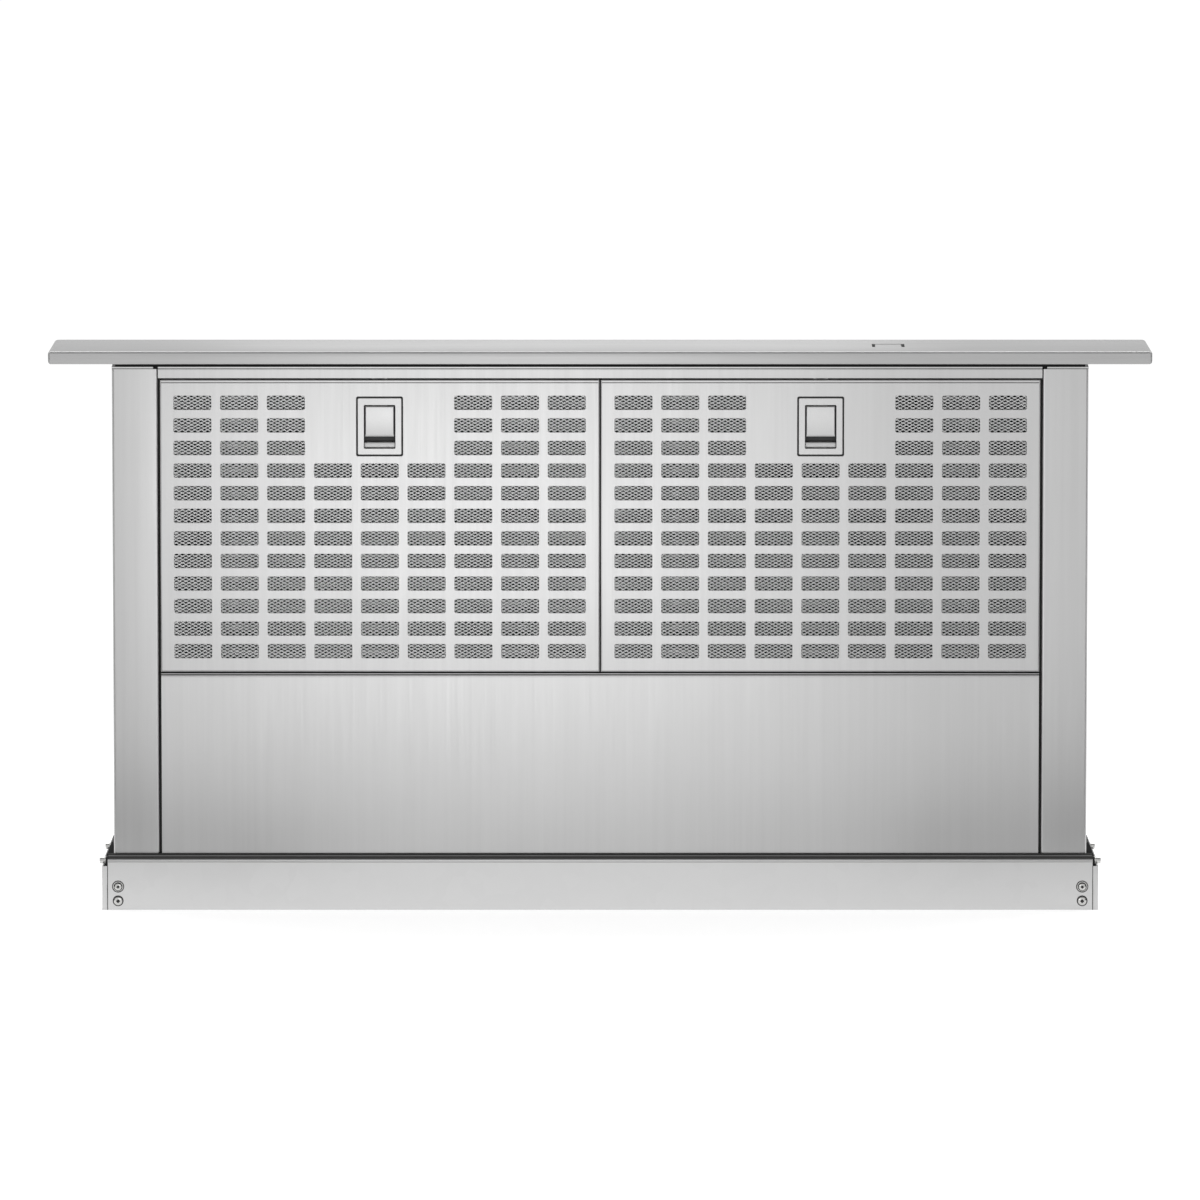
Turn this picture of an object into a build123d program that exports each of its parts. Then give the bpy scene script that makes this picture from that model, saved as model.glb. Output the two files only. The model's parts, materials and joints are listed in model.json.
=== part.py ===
from build123d import *
import os

# Retractable downdraft vent: a slim extractor that rises behind a cooktop. Millimetres, +Z up,
# front towards -Y. The origin is on the floor under the middle, and the vent stands raised.

# ---- Overall sizes -------------------------------------------------------------------------
CAP_W = 762.0  # the nominal 30 inch width
CAP_D = 76.0
CAP_H = 9.0
RISE = 355.6  # cap top above the chassis rim when raised, 14 inches
COLUMN_W = 675.0
COLUMN_D = 50.0
COLUMN_BELOW = 110.0  # column left inside the chassis when raised
LIFT_TRAVEL = 338.0
SIDE_ROOM = 8.2  # chassis beyond the column's ends
FACE_ROOM = 4.0  # chassis beyond the column's front and back
CHASSIS_H = 635.0
FLOOR_GAP = 15.0  # chassis bottom above the floor

# ---- Sheet and clearances ------------------------------------------------------------------
SHEET = 1.2  # chassis and column sheet
FILTER_SHEET = 0.8
WIPE_GAP = 0.3  # seals and guides to the moving column
PAD_GAP = 0.3  # glide pads and slide seals to the chassis
BORE_GAP = 0.06  # radial, shafts in their bores
BELT_GAP = 0.3  # belt to pulley
SMALL_GAP = 0.2  # small sliding pieces
PLATE_CORNER_R = 4.0
SCREW_HOLE_GAP = 0.1  # radial, screws in their holes

# ---- Column --------------------------------------------------------------------------------
POST_W = 32.0
POST_R = 2.0
POST_DROP = 13.3  # post top below the cap top
HEADER_FACE_H = 6.6
HEADER_LINE = 0.5  # pressed line under the header's web
RELIEF_W = 3.4  # bend reliefs beside the header's face
RELIEF_D = 2.0
PANEL_SIDE_GAP = 1.4  # lower panel to post
PANEL_RETURN = 12.0
PANEL_FOLD_R = 2.0
LEDGE_DROP = 225.7  # ledge top below the cap top
LEDGE_GAP = 1.8  # filter bottom above the ledge
SEAT_BEHIND = 0.4  # filter back to the seat frame
SEAT_MARGIN = 10.0  # seat frame overlap behind a filter
MULLION_W = 18.0
BOTTOM_RING_H = 20.0
BOTTOM_RING_T = 2.0
SLIDE_SEAL_H = 10.0
SLIDE_SEAL_RAISE = 2.0
PAD_W = 28.0
PAD_H = 60.0
PAD_RAISE = 5.0
PAD_EDGE = 2.4
NUT_H = 14.0

# ---- Cap, rail and button ------------------------------------------------------------------
CAP_CORNER_R = 2.5
CAP_EDGE_R = 0.8
RAIL_W = 600.0
RAIL_D = 32.0
RAIL_FOOT = 6.0
CAP_SCREW_X = 280.0
CAP_SCREW_R = 1.5
CAP_SCREW_HEAD_R = 2.8
CAP_SCREW_HEAD_H = 1.6
BUTTON_X = 199.5
BUTTON_SIZE = 18.4
BUTTON_GAP = 0.3  # all round, in the cap
BUTTON_SINK = 0.2  # below the cap top
BUTTON_H = 4.0
BUTTON_FLANGE = 1.3  # beyond the button, all round
BUTTON_FLANGE_T = 0.8
BUTTON_FLANGE_DROP = 1.8  # flange top below the cap top
BUTTON_STEM_R = 3.0
BUTTON_STEM_L = 5.0
BUTTON_TRAVEL = 1.0
SWITCH_SIZE = 18.0
SWITCH_H = 6.4

# ---- Filters -------------------------------------------------------------------------------
FILTER_H = 202.6
FILTER_D = 10.0
FILTER_SIDE_GAP = 1.8
FILTER_CENTRE_GAP = 2.4
FILTER_EDGE_R = 1.2
SLOT_W = 26.0
SLOT_H = 9.8
SLOT_PITCH_X = 32.35
SLOT_PITCH_Z = 15.75
SLOT_TOP_MARGIN = 10.8
SLOT_EDGE = 7.5  # least metal between the slots and the filter's other edges
BARE_W = 120.0  # patch round the latch with no slot's centre in it
BARE_H = 54.0
MESH_T = 4.0
MESH_INSET = 0.3
BACK_RING = 12.0
BACK_RING_T = 5.0
BACK_BAR = 5.0
HOOK_W = 14.0
HOOK_X = 100.0
HOOK_T = 1.2
HOOK_INSET = 2.4  # hook's middle in front of the filter's back
HOOK_DROP = 4.2  # below the filter
HOOK_SLOT_GAP = 1.4

# ---- Latches -------------------------------------------------------------------------------
LATCH_DROP = 32.2  # latch centre below the filter top
LATCH_W = 30.9
LATCH_H = 40.0
LATCH_GAP = 0.8  # latch frame to the face sheet
LATCH_CLAMP = 1.9  # clamping flange beyond the face opening
LATCH_CLAMP_T = 1.0
WINDOW_W = 21.5
WINDOW_H = 30.1
WINDOW_DROP = 0.9  # window's middle below the latch's
POCKET_WALL = 3.0
POCKET_DEPTH = 7.5
POCKET_BACK = 1.0
TAB_H = 21.1
TAB_T = 4.0
TAB_SINK = 0.4
TAB_GAP = 0.8  # to the window's sides and top
BOLT_W = 10.0
BOLT_REACH = 1.1  # above the filter
BOLT_TAIL = 6.0  # behind the tab, below its top
LATCH_SHELF_H = 1.8
LATCH_SPRING_W = 8.0
LATCH_SPRING_T = 0.4
LATCH_SPRING_BOW = 1.6
KEEPER_L = 30.0
KEEPER_FOOT = 8.0
KEEPER_T = 0.5
KEEPER_W = 2.4
KEEPER_GRIP = 0.5  # bolt tip above the keeper's lowest point

# ---- Chassis -------------------------------------------------------------------------------
PANEL_SHORT = 4.0  # front and rear panels inside the chassis ends
CHANNEL_FLANGE = 25.0
CHANNEL_DROP = 5.0  # web top below the rim
FLANGE_DROP = 12.0
EAR_W = 12.0
EAR_RISE = 1.5  # above the rim
LIP_H = 2.0
LIP_PROUD = 0.4
SEAL_H = 4.0  # above the rim
SEAL_SKIRT = 10.0
SEAL_T = 1.5
SEAL_BEND = 1.0  # heights of the lip's corners above the rim
SEAL_LIP = 3.1
SEAL_NOSE = 1.6
GUIDE_RISE = 14.5
GUIDE_SKIRT = 24.0
GUIDE_T = 1.8
GUIDE_TIP_T = 1.4
GUIDE_BEND = 8.7  # above the rim
GUIDE_W = 30.0
GUIDE_SCREW_R = 2.35
GUIDE_SCREW_HEAD = 1.8
GUIDE_SCREW_DROP = 1.6
WIPER_SCREW_R = 1.5
WIPER_SCREW_RISE = 10.1
WIPER_SCREW_L = 3.4
PANEL_SCREW_IN = 7.1  # from the panel's end
PANEL_SCREW_R = 3.3
PANEL_SCREW_HEAD = 1.8
LAST_SCREW_RAISE = 40.0  # least height above the chassis bottom
TOP_SCREW_R = 4.0
TOP_SCREW_DROP = 18.1
NEXT_SCREW_DROP = 27.8
PANEL_SCREW_PITCH = 280.0
PAN_FLANGE = 12.0

# ---- Duct outlet, service cover and control box -------------------------------------------
OUTLET_W = 254.0  # 10 inches
OUTLET_H = 83.0  # 3 1/4 inches
OUTLET_Z = 106.0
COLLAR_L = 30.0
COLLAR_FLANGE = 20.0
COLLAR_HOLE_R = 2.2
COLLAR_BEAD = 1.0
COLLAR_BEAD_OUT = 18.0
SERVICE_W = 78.0
SERVICE_H = 145.0
SERVICE_LAP = 9.0
SERVICE_Z = 106.0
COVER_SCREW_R = 3.0
BOX_W = 140.0
BOX_H = 100.0
BOX_D = 29.0
BOX_OFFSET = 81.5  # control box's middle to the right lead screw
BOX_Z = 390.0
LID_RIM = 8.0
LID_CLEAR = 0.2
LID_EDGE = 0.6
BOARD_W = 104.0
BOARD_H = 70.0
BOARD_T = 1.6
BOARD_STANDOFF = 5.0
BOARD_INSET = 4.0
STANDOFF_R = 3.0
TRANSFORMER_W = 32.0
TRANSFORMER_H = 34.0
TRANSFORMER_D = 16.0
TRANSFORMER_AT = (-29.0, 8.4)  # from the board's middle
RELAY_W = 12.0
RELAY_H = 18.0
RELAY_D = 13.0
RELAY_PITCH = 18.0
RELAYS_AT = (21.0, 14.0)
TERMINALS_W = 66.0
TERMINALS_H = 10.0
TERMINALS_AT = (10.4, -26.6)
GLAND_R = 8.0
GLAND_L = 22.0
GLAND_BORE_R = 4.0
GLAND_NUT_R = 11.0
GLAND_NUT_T = 5.0
GLAND_DOME_H = 10.0

# ---- Lift drive ----------------------------------------------------------------------------
SCREW_R = 6.0
SCREW_FOOT_GAP = 0.8
SCREW_ABOVE_NUT = 18.0
SCREW_TIP = 1.5
BEARING_SIZE = 34.0
BEARING_H = 10.0
PULLEY_R = 14.0
PULLEY_FLANGE = 2.5
PULLEY_FLANGE_T = 1.0
BELT_W = 9.4
BELT_T = 1.6
BELT_DECK = 10.0  # pulley groove height
PULLEY_RAISE = 1.8  # pulley bottom above the bearing
MOTOR_OFFSET = 62.0  # motor shaft to right lead screw
MOTOR_SHAFT_R = 4.0
MOTOR_SHAFT_IN = 12.0  # inside the gearbox
MOTOR_EDGE = 2.0
MOTOR_R = 18.0
MOTOR_H = 92.0
GEARBOX_W = 46.0
GEARBOX_D = 40.0
GEARBOX_H = 30.0
GEARBOX_RAISE = 8.0  # gearbox bottom above the drive belt deck
BRACKET_T = 3.0
BRACKET_FLANGE_H = 34.0
BRACKET_W = 64.0
SWITCH_BODY_W = 9.0
SWITCH_BODY_H = 20.0
SWITCH_BODY_GAP = 0.9

# ---- Feet ----------------------------------------------------------------------------------
FOOT_T = 2.5
FOOT_ARM_W = 44.0
FOOT_ARM_H = 138.0
FOOT_PLATE_L = 120.0
FOOT_PLATE_W = 57.0
FOOT_HOLE_PITCH = 96.0
FOOT_HOLE_R = 3.5
FOOT_TRAVEL = 50.0
FOOT_BOLT_R = 3.0
FOOT_BOLT_HEAD_R = 6.0
FOOT_BOLT_HEAD = 4.0
FOOT_BOLT_PITCH = 24.0
FOOT_BOLT_Z = 70.0
FOOT_BOLT_NUT_R = 5.0
FOOT_BOLT_NUT_T = 4.5

# ---- Places worked out from the sizes above ------------------------------------------------
CHASSIS_W = COLUMN_W + 2 * SIDE_ROOM
CHASSIS_D = COLUMN_D + 2 * FACE_ROOM
FRONT_PANEL_W = CHASSIS_W - 2 * PANEL_SHORT
PANEL_SCREW_X = FRONT_PANEL_W / 2 - PANEL_SCREW_IN
RIM_Z = FLOOR_GAP + CHASSIS_H
CAP_TOP = RIM_Z + RISE
POST_TOP = CAP_TOP - POST_DROP
COLUMN_BOTTOM = RIM_Z - COLUMN_BELOW
FRONT_Y = -COLUMN_D / 2
BACK_Y = COLUMN_D / 2
POST_X = (COLUMN_W - POST_W) / 2
POST_IN = COLUMN_W / 2 - POST_W
BOX_X = POST_X - BOX_OFFSET
LEDGE_TOP = CAP_TOP - LEDGE_DROP
FILTER_BOTTOM = LEDGE_TOP + LEDGE_GAP
FILTER_TOP = FILTER_BOTTOM + FILTER_H
FILTER_MID = (FILTER_BOTTOM + FILTER_TOP) / 2
FILTER_W = POST_IN - FILTER_SIDE_GAP - FILTER_CENTRE_GAP / 2
FILTER_X = (FILTER_CENTRE_GAP + FILTER_W) / 2
FILTER_BACK = FRONT_Y + FILTER_D
SEAT_Y = FILTER_BACK + SEAT_BEHIND
HOOK_MID_Y = FILTER_BACK - HOOK_INSET
HEADER_TOP = POST_TOP + SHEET
LATCH_Z = FILTER_TOP - LATCH_DROP
WINDOW_Z = LATCH_Z - WINDOW_DROP
WINDOW_TOP = WINDOW_Z + WINDOW_H / 2
WINDOW_BOTTOM = WINDOW_Z - WINDOW_H / 2
POCKET_Y = FRONT_Y + POCKET_DEPTH
TAB_BACK = FRONT_Y + TAB_SINK + TAB_T
BOLT_BACK = POCKET_Y - SMALL_GAP
PANEL_Y = CHASSIS_D / 2 - SHEET  # inner face of the chassis panels, either side of the middle
WEB_OUT = CHASSIS_W / 2
WEB_IN = WEB_OUT - SHEET
PAN_TOP = FLOOR_GAP + SHEET
PULLEY_BOTTOM = PAN_TOP + BEARING_H + PULLEY_RAISE
DECK_STEP = BELT_DECK + 2 * PULLEY_FLANGE_T
DRIVE_DECK = PULLEY_BOTTOM + DECK_STEP
MOTOR_X = POST_X - MOTOR_OFFSET
GEARBOX_BOTTOM = DRIVE_DECK + DECK_STEP + GEARBOX_RAISE
SIDES = {"left": -1, "right": 1}


def upright(y):
    """Plane facing the front at depth y, with X to the right and Z up."""
    return Plane.XZ.offset(-y)


def save(piece, name):
    """Label a finished piece and write it as its own STEP file."""
    piece.part.label = name
    export_step(piece.part, f"parts/{name}.step")


os.makedirs("parts", exist_ok=True)

# ============================================================================================
# Chassis
# ============================================================================================

with BuildPart() as chassis_front_panel:
    with BuildSketch(upright(-CHASSIS_D / 2)):
        with Locations((0, FLOOR_GAP + CHASSIS_H / 2)):
            Rectangle(FRONT_PANEL_W, CHASSIS_H)
        with Locations((0, OUTLET_Z)):
            Rectangle(OUTLET_W, OUTLET_H, mode=Mode.SUBTRACT)
            with GridLocations(OUTLET_W + COLLAR_FLANGE, OUTLET_H + COLLAR_FLANGE, 2, 2):
                Circle(COLLAR_HOLE_R, mode=Mode.SUBTRACT)
        with Locations((MOTOR_X, SERVICE_Z)):
            Rectangle(SERVICE_W, SERVICE_H, mode=Mode.SUBTRACT)
    extrude(amount=-SHEET)
    with BuildSketch(upright(-CHASSIS_D / 2)):
        with Locations((0, RIM_Z - LIP_H / 2)):
            Rectangle(FRONT_PANEL_W, LIP_H)
    extrude(amount=LIP_PROUD)
save(chassis_front_panel, "chassis_front_panel")

with BuildPart() as chassis_rear_panel:
    with BuildSketch(upright(PANEL_Y)):
        with Locations((0, FLOOR_GAP + CHASSIS_H / 2)):
            Rectangle(FRONT_PANEL_W, CHASSIS_H)
    extrude(amount=-SHEET)
    with BuildSketch(upright(PANEL_Y + SHEET)):
        with Locations((0, RIM_Z - LIP_H / 2)):
            Rectangle(FRONT_PANEL_W, LIP_H)
    extrude(amount=-LIP_PROUD)
save(chassis_rear_panel, "chassis_rear_panel")

for side, sign in SIDES.items():
    with BuildPart() as side_channel:
        with BuildSketch(Plane.XY.offset(FLOOR_GAP)):
            with Locations((sign * (WEB_OUT - CHANNEL_FLANGE / 2), 0)):
                Rectangle(CHANNEL_FLANGE, 2 * PANEL_Y)
            with Locations((sign * (WEB_IN - CHANNEL_FLANGE / 2), 0)):
                Rectangle(CHANNEL_FLANGE, 2 * (PANEL_Y - SHEET), mode=Mode.SUBTRACT)
        extrude(amount=CHASSIS_H - FLANGE_DROP)
        # The web rises past the flanges, and an ear on it takes the guide's screw.
        with BuildSketch(Plane.YZ.offset(sign * WEB_IN)):
            with Locations((0, RIM_Z - (FLANGE_DROP + CHANNEL_DROP) / 2)):
                Rectangle(2 * PANEL_Y, FLANGE_DROP - CHANNEL_DROP)
            with Locations((0, RIM_Z + (EAR_RISE - CHANNEL_DROP) / 2)):
                Rectangle(EAR_W, EAR_RISE + CHANNEL_DROP)
        extrude(amount=sign * SHEET)
        with BuildSketch(Plane.YZ.offset(sign * WEB_IN)):
            with Locations((0, FOOT_BOLT_Z)):
                with GridLocations(FOOT_BOLT_PITCH, 0, 2, 1):
                    Circle(FOOT_BOLT_R + SCREW_HOLE_GAP)
        extrude(amount=sign * SHEET, mode=Mode.SUBTRACT)
    save(side_channel, f"side_channel_{side}")

with BuildPart() as bottom_pan:
    with BuildSketch(Plane.XY.offset(FLOOR_GAP)):
        Rectangle(2 * WEB_IN, 2 * (PANEL_Y - SHEET))
    extrude(amount=SHEET)
    with BuildSketch(Plane.XY.offset(PAN_TOP)):
        Rectangle(2 * (WEB_OUT - CHANNEL_FLANGE), 2 * (PANEL_Y - SHEET))
        Rectangle(2 * WEB_IN, 2 * (PANEL_Y - 2 * SHEET), mode=Mode.SUBTRACT)
    extrude(amount=PAN_FLANGE)
save(bottom_pan, "bottom_pan")

# A rubber wiper lines the slot at the front and the back of the column.
with BuildPart() as wiper_seals:
    for facing in (-1, 1):
        lip_y = facing * (BACK_Y + WIPE_GAP)
        skirt_y = facing * (PANEL_Y - SEAL_T)
        clip_y = facing * PANEL_Y
        nose_y = facing * (PANEL_Y + SHEET - WIPE_GAP)
        with BuildSketch(Plane.YZ.offset(-FRONT_PANEL_W / 2)):
            with BuildLine():
                Polyline(
                    (clip_y, RIM_Z - SEAL_SKIRT),
                    (skirt_y, RIM_Z - SEAL_SKIRT),
                    (skirt_y, RIM_Z + SEAL_BEND),
                    (lip_y, RIM_Z + SEAL_LIP),
                    (lip_y, RIM_Z + SEAL_H),
                    ((lip_y + nose_y) / 2, RIM_Z + SEAL_H),
                    (nose_y, RIM_Z + SEAL_NOSE),
                    (nose_y, RIM_Z),
                    (clip_y, RIM_Z),
                    close=True,
                )
            make_face()
        extrude(amount=FRONT_PANEL_W)
save(wiper_seals, "wiper_seals")

# Springy plastic guides lean in on the column's two ends.
GUIDE_TIP_X = COLUMN_W / 2 + WIPE_GAP
GUIDE_TOP = RIM_Z + GUIDE_RISE
for side, sign in SIDES.items():
    with BuildPart() as side_guide:
        with BuildSketch(upright(0)):
            with BuildLine():
                Polyline(
                    (sign * (WEB_IN - GUIDE_T), RIM_Z - GUIDE_SKIRT),
                    (sign * WEB_IN, RIM_Z - GUIDE_SKIRT),
                    (sign * WEB_IN, RIM_Z + EAR_RISE),
                    (sign * (GUIDE_TIP_X + GUIDE_TIP_T), GUIDE_TOP),
                    (sign * GUIDE_TIP_X, GUIDE_TOP - GUIDE_TIP_T),
                    (sign * GUIDE_TIP_X, RIM_Z + GUIDE_BEND),
                )
                ThreePointArc(
                    (sign * GUIDE_TIP_X, RIM_Z + GUIDE_BEND),
                    (sign * (GUIDE_TIP_X + GUIDE_T), RIM_Z + EAR_RISE),
                    (sign * (WEB_IN - GUIDE_T), RIM_Z - CHANNEL_DROP),
                )
                Line(
                    (sign * (WEB_IN - GUIDE_T), RIM_Z - CHANNEL_DROP),
                    (sign * (WEB_IN - GUIDE_T), RIM_Z - GUIDE_SKIRT),
                )
            make_face()
        extrude(amount=GUIDE_W / 2, both=True)
    save(side_guide, f"side_guide_{side}")

with BuildPart() as guide_screws:
    for sign in SIDES.values():
        with BuildSketch(Plane.YZ.offset(sign * WEB_OUT)):
            with Locations((0, RIM_Z - GUIDE_SCREW_DROP)):
                Circle(GUIDE_SCREW_R)
        extrude(amount=sign * GUIDE_SCREW_HEAD)
        lean = (WIPER_SCREW_RISE - WIPER_SCREW_R - EAR_RISE) / (GUIDE_RISE - EAR_RISE)
        seat_x = WEB_IN + (GUIDE_TIP_X + GUIDE_TIP_T - WEB_IN) * lean
        with BuildSketch(Plane.YZ.offset(sign * (seat_x + WIPER_SCREW_L - WIPER_SCREW_R))):
            with Locations((0, RIM_Z + WIPER_SCREW_RISE)):
                Circle(WIPER_SCREW_R)
        extrude(amount=-sign * (WIPER_SCREW_L - WIPER_SCREW_R))
save(guide_screws, "guide_screws")

# The two top screws on each side clamp the guides' frame, and a row runs down each panel.
screw_span = CHASSIS_H - NEXT_SCREW_DROP - LAST_SCREW_RAISE
row_count = int(screw_span / PANEL_SCREW_PITCH) + 1
screw_rows = [RIM_Z - NEXT_SCREW_DROP - PANEL_SCREW_PITCH * n for n in range(row_count)]
with BuildPart() as panel_screws:
    for facing in (-1, 1):
        with BuildSketch(upright(facing * CHASSIS_D / 2)):
            with Locations(*[(sign * PANEL_SCREW_X, z) for sign in (-1, 1) for z in screw_rows]):
                Circle(PANEL_SCREW_R)
            with Locations(*[(sign * PANEL_SCREW_X, RIM_Z - TOP_SCREW_DROP) for sign in (-1, 1)]):
                Circle(TOP_SCREW_R)
        extrude(amount=-facing * PANEL_SCREW_HEAD)
save(panel_screws, "panel_screws")

# The duct collar's flange is welded to the front panel round the outlet.
with BuildPart() as duct_collar:
    with BuildSketch(upright(-CHASSIS_D / 2)):
        with Locations((0, OUTLET_Z)):
            Rectangle(OUTLET_W + 2 * COLLAR_FLANGE, OUTLET_H + 2 * COLLAR_FLANGE)
            Rectangle(OUTLET_W, OUTLET_H, mode=Mode.SUBTRACT)
            with GridLocations(OUTLET_W + COLLAR_FLANGE, OUTLET_H + COLLAR_FLANGE, 2, 2):
                Circle(COLLAR_HOLE_R, mode=Mode.SUBTRACT)
    extrude(amount=SHEET)
    with BuildSketch(upright(-CHASSIS_D / 2)):
        with Locations((0, OUTLET_Z)):
            Rectangle(OUTLET_W + 2 * SHEET, OUTLET_H + 2 * SHEET)
            Rectangle(OUTLET_W, OUTLET_H, mode=Mode.SUBTRACT)
    extrude(amount=COLLAR_L)
    with BuildSketch(upright(-CHASSIS_D / 2 - COLLAR_BEAD_OUT)):
        with Locations((0, OUTLET_Z)):
            Rectangle(OUTLET_W + 2 * (SHEET + COLLAR_BEAD), OUTLET_H + 2 * (SHEET + COLLAR_BEAD))
            Rectangle(OUTLET_W, OUTLET_H, mode=Mode.SUBTRACT)
    extrude(amount=2 * COLLAR_BEAD)
save(duct_collar, "duct_collar")

with BuildPart() as service_cover:
    with BuildSketch(upright(-CHASSIS_D / 2)):
        with Locations((MOTOR_X, SERVICE_Z)):
            Rectangle(SERVICE_W + 2 * SERVICE_LAP, SERVICE_H + 2 * SERVICE_LAP)
    extrude(amount=SHEET)
    with BuildSketch(upright(-CHASSIS_D / 2 - SHEET)):
        with Locations((MOTOR_X, SERVICE_Z)):
            with GridLocations(SERVICE_W + SERVICE_LAP, SERVICE_H + SERVICE_LAP, 2, 2):
                Circle(COVER_SCREW_R)
    extrude(amount=PANEL_SCREW_HEAD)
save(service_cover, "service_cover")

# ---- Control box ---------------------------------------------------------------------------
BOX_BACK = -CHASSIS_D / 2
BOX_FRONT = BOX_BACK - BOX_D
with BuildPart() as control_box:
    with BuildSketch(upright(BOX_BACK)):
        with Locations((BOX_X, BOX_Z)):
            Rectangle(BOX_W, BOX_H)
    extrude(amount=BOX_D)
    with BuildSketch(upright(BOX_BACK - SHEET)):
        with Locations((BOX_X, BOX_Z)):
            Rectangle(BOX_W - 2 * SHEET, BOX_H - 2 * SHEET)
    extrude(amount=BOX_D, mode=Mode.SUBTRACT)
    with BuildSketch(Plane.XY.offset(BOX_Z - BOX_H / 2)):
        with Locations((BOX_X, BOX_BACK - GLAND_NUT_R)):
            Circle(GLAND_R + SCREW_HOLE_GAP)
    extrude(amount=SHEET, mode=Mode.SUBTRACT)
save(control_box, "control_box")

with BuildPart() as control_box_lid:
    with BuildSketch(upright(BOX_FRONT)):
        with Locations((BOX_X, BOX_Z)):
            Rectangle(BOX_W + 2 * (SHEET + LID_CLEAR), BOX_H + 2 * (SHEET + LID_CLEAR))
    extrude(amount=SHEET)
    with BuildSketch(upright(BOX_FRONT)):
        with Locations((BOX_X, BOX_Z)):
            Rectangle(BOX_W + 2 * (SHEET + LID_CLEAR), BOX_H + 2 * (SHEET + LID_CLEAR))
            Rectangle(BOX_W + 2 * LID_CLEAR, BOX_H + 2 * LID_CLEAR, mode=Mode.SUBTRACT)
    extrude(amount=-LID_RIM)
    chamfer(control_box_lid.edges().group_by(Axis.Y)[0], LID_EDGE)
save(control_box_lid, "control_box_lid")

# Relays, transformer and terminal strip stand on the board.
with BuildPart() as control_board:
    board_y = BOX_BACK - SHEET - BOARD_STANDOFF
    with BuildSketch(upright(BOX_BACK - SHEET)):
        with Locations((BOX_X, BOX_Z)):
            with GridLocations(BOARD_W - 2 * BOARD_INSET, BOARD_H - 2 * BOARD_INSET, 2, 2):
                Circle(STANDOFF_R)
    extrude(amount=BOARD_STANDOFF)
    with BuildSketch(upright(board_y)):
        with Locations((BOX_X, BOX_Z)):
            Rectangle(BOARD_W, BOARD_H)
    extrude(amount=BOARD_T)
    with BuildSketch(upright(board_y - BOARD_T)):
        with Locations((BOX_X + TRANSFORMER_AT[0], BOX_Z + TRANSFORMER_AT[1])):
            Rectangle(TRANSFORMER_W, TRANSFORMER_H)
    extrude(amount=TRANSFORMER_D)
    with BuildSketch(upright(board_y - BOARD_T)):
        with Locations((BOX_X + RELAYS_AT[0], BOX_Z + RELAYS_AT[1])):
            with GridLocations(RELAY_PITCH, 0, 3, 1):
                Rectangle(RELAY_W, RELAY_H)
    extrude(amount=RELAY_D)
    with BuildSketch(upright(board_y - BOARD_T)):
        with Locations((BOX_X + TERMINALS_AT[0], BOX_Z + TERMINALS_AT[1])):
            Rectangle(TERMINALS_W, TERMINALS_H)
    extrude(amount=TERMINALS_H)
save(control_board, "control_board")

with BuildPart() as cable_gland:
    gland_plane = Plane.XY.offset(BOX_Z - BOX_H / 2 + SHEET + GLAND_NUT_T)
    gland_y = BOX_BACK - GLAND_NUT_R
    with BuildSketch(gland_plane):
        with Locations((BOX_X, gland_y)):
            Circle(GLAND_R)
    extrude(amount=-GLAND_L)
    with BuildSketch(Plane.XY.offset(BOX_Z - BOX_H / 2 + SHEET)):
        with Locations((BOX_X, gland_y)):
            RegularPolygon(GLAND_NUT_R, 6)
    extrude(amount=GLAND_NUT_T)
    with BuildSketch(Plane.XY.offset(BOX_Z - BOX_H / 2)):
        with Locations((BOX_X, gland_y)):
            RegularPolygon(GLAND_NUT_R, 6)
    extrude(amount=-GLAND_DOME_H)
    with BuildSketch(gland_plane):
        with Locations((BOX_X, gland_y)):
            Circle(GLAND_BORE_R)
    extrude(amount=-GLAND_L, mode=Mode.SUBTRACT)
save(cable_gland, "cable_gland")

# ---- Lift drive ----------------------------------------------------------------------------
with BuildPart() as screw_bearings:
    with BuildSketch(Plane.XY.offset(PAN_TOP)):
        with Locations((-POST_X, 0), (POST_X, 0)):
            RectangleRounded(BEARING_SIZE, BEARING_SIZE, PLATE_CORNER_R)
            Circle(SCREW_R + BORE_GAP, mode=Mode.SUBTRACT)
    extrude(amount=BEARING_H)
save(screw_bearings, "screw_bearings")

SCREW_TOP = COLUMN_BOTTOM + NUT_H + SCREW_ABOVE_NUT
for side, sign in SIDES.items():
    with BuildPart() as lead_screw:
        with BuildSketch(Plane.XY.offset(PAN_TOP + SCREW_FOOT_GAP)):
            with Locations((sign * POST_X, 0)):
                Circle(SCREW_R)
        extrude(amount=SCREW_TOP - PAN_TOP - SCREW_FOOT_GAP)
        chamfer(lead_screw.edges().group_by(Axis.Z)[-1], SCREW_TIP)
    save(lead_screw, f"lead_screw_{side}")


def pulley_deck(z):
    """Radius, bottom and height of the two flanges and the groove of one belt deck from z up."""
    groove_z = z + PULLEY_FLANGE_T
    return (
        (PULLEY_R + PULLEY_FLANGE, z, PULLEY_FLANGE_T),
        (PULLEY_R, groove_z, BELT_DECK),
        (PULLEY_R + PULLEY_FLANGE, groove_z + BELT_DECK, PULLEY_FLANGE_T),
    )


screw_pulleys = {
    "left": pulley_deck(PULLEY_BOTTOM),
    "right": pulley_deck(PULLEY_BOTTOM) + pulley_deck(DRIVE_DECK),
}
for side, sign in SIDES.items():
    with BuildPart() as pulley:
        for radius, bottom, height in screw_pulleys[side]:
            with BuildSketch(Plane.XY.offset(bottom)):
                with Locations((sign * POST_X, 0)):
                    Circle(radius)
                    Circle(SCREW_R, mode=Mode.SUBTRACT)
            extrude(amount=height)
    save(pulley, f"pulley_{side}")

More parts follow.
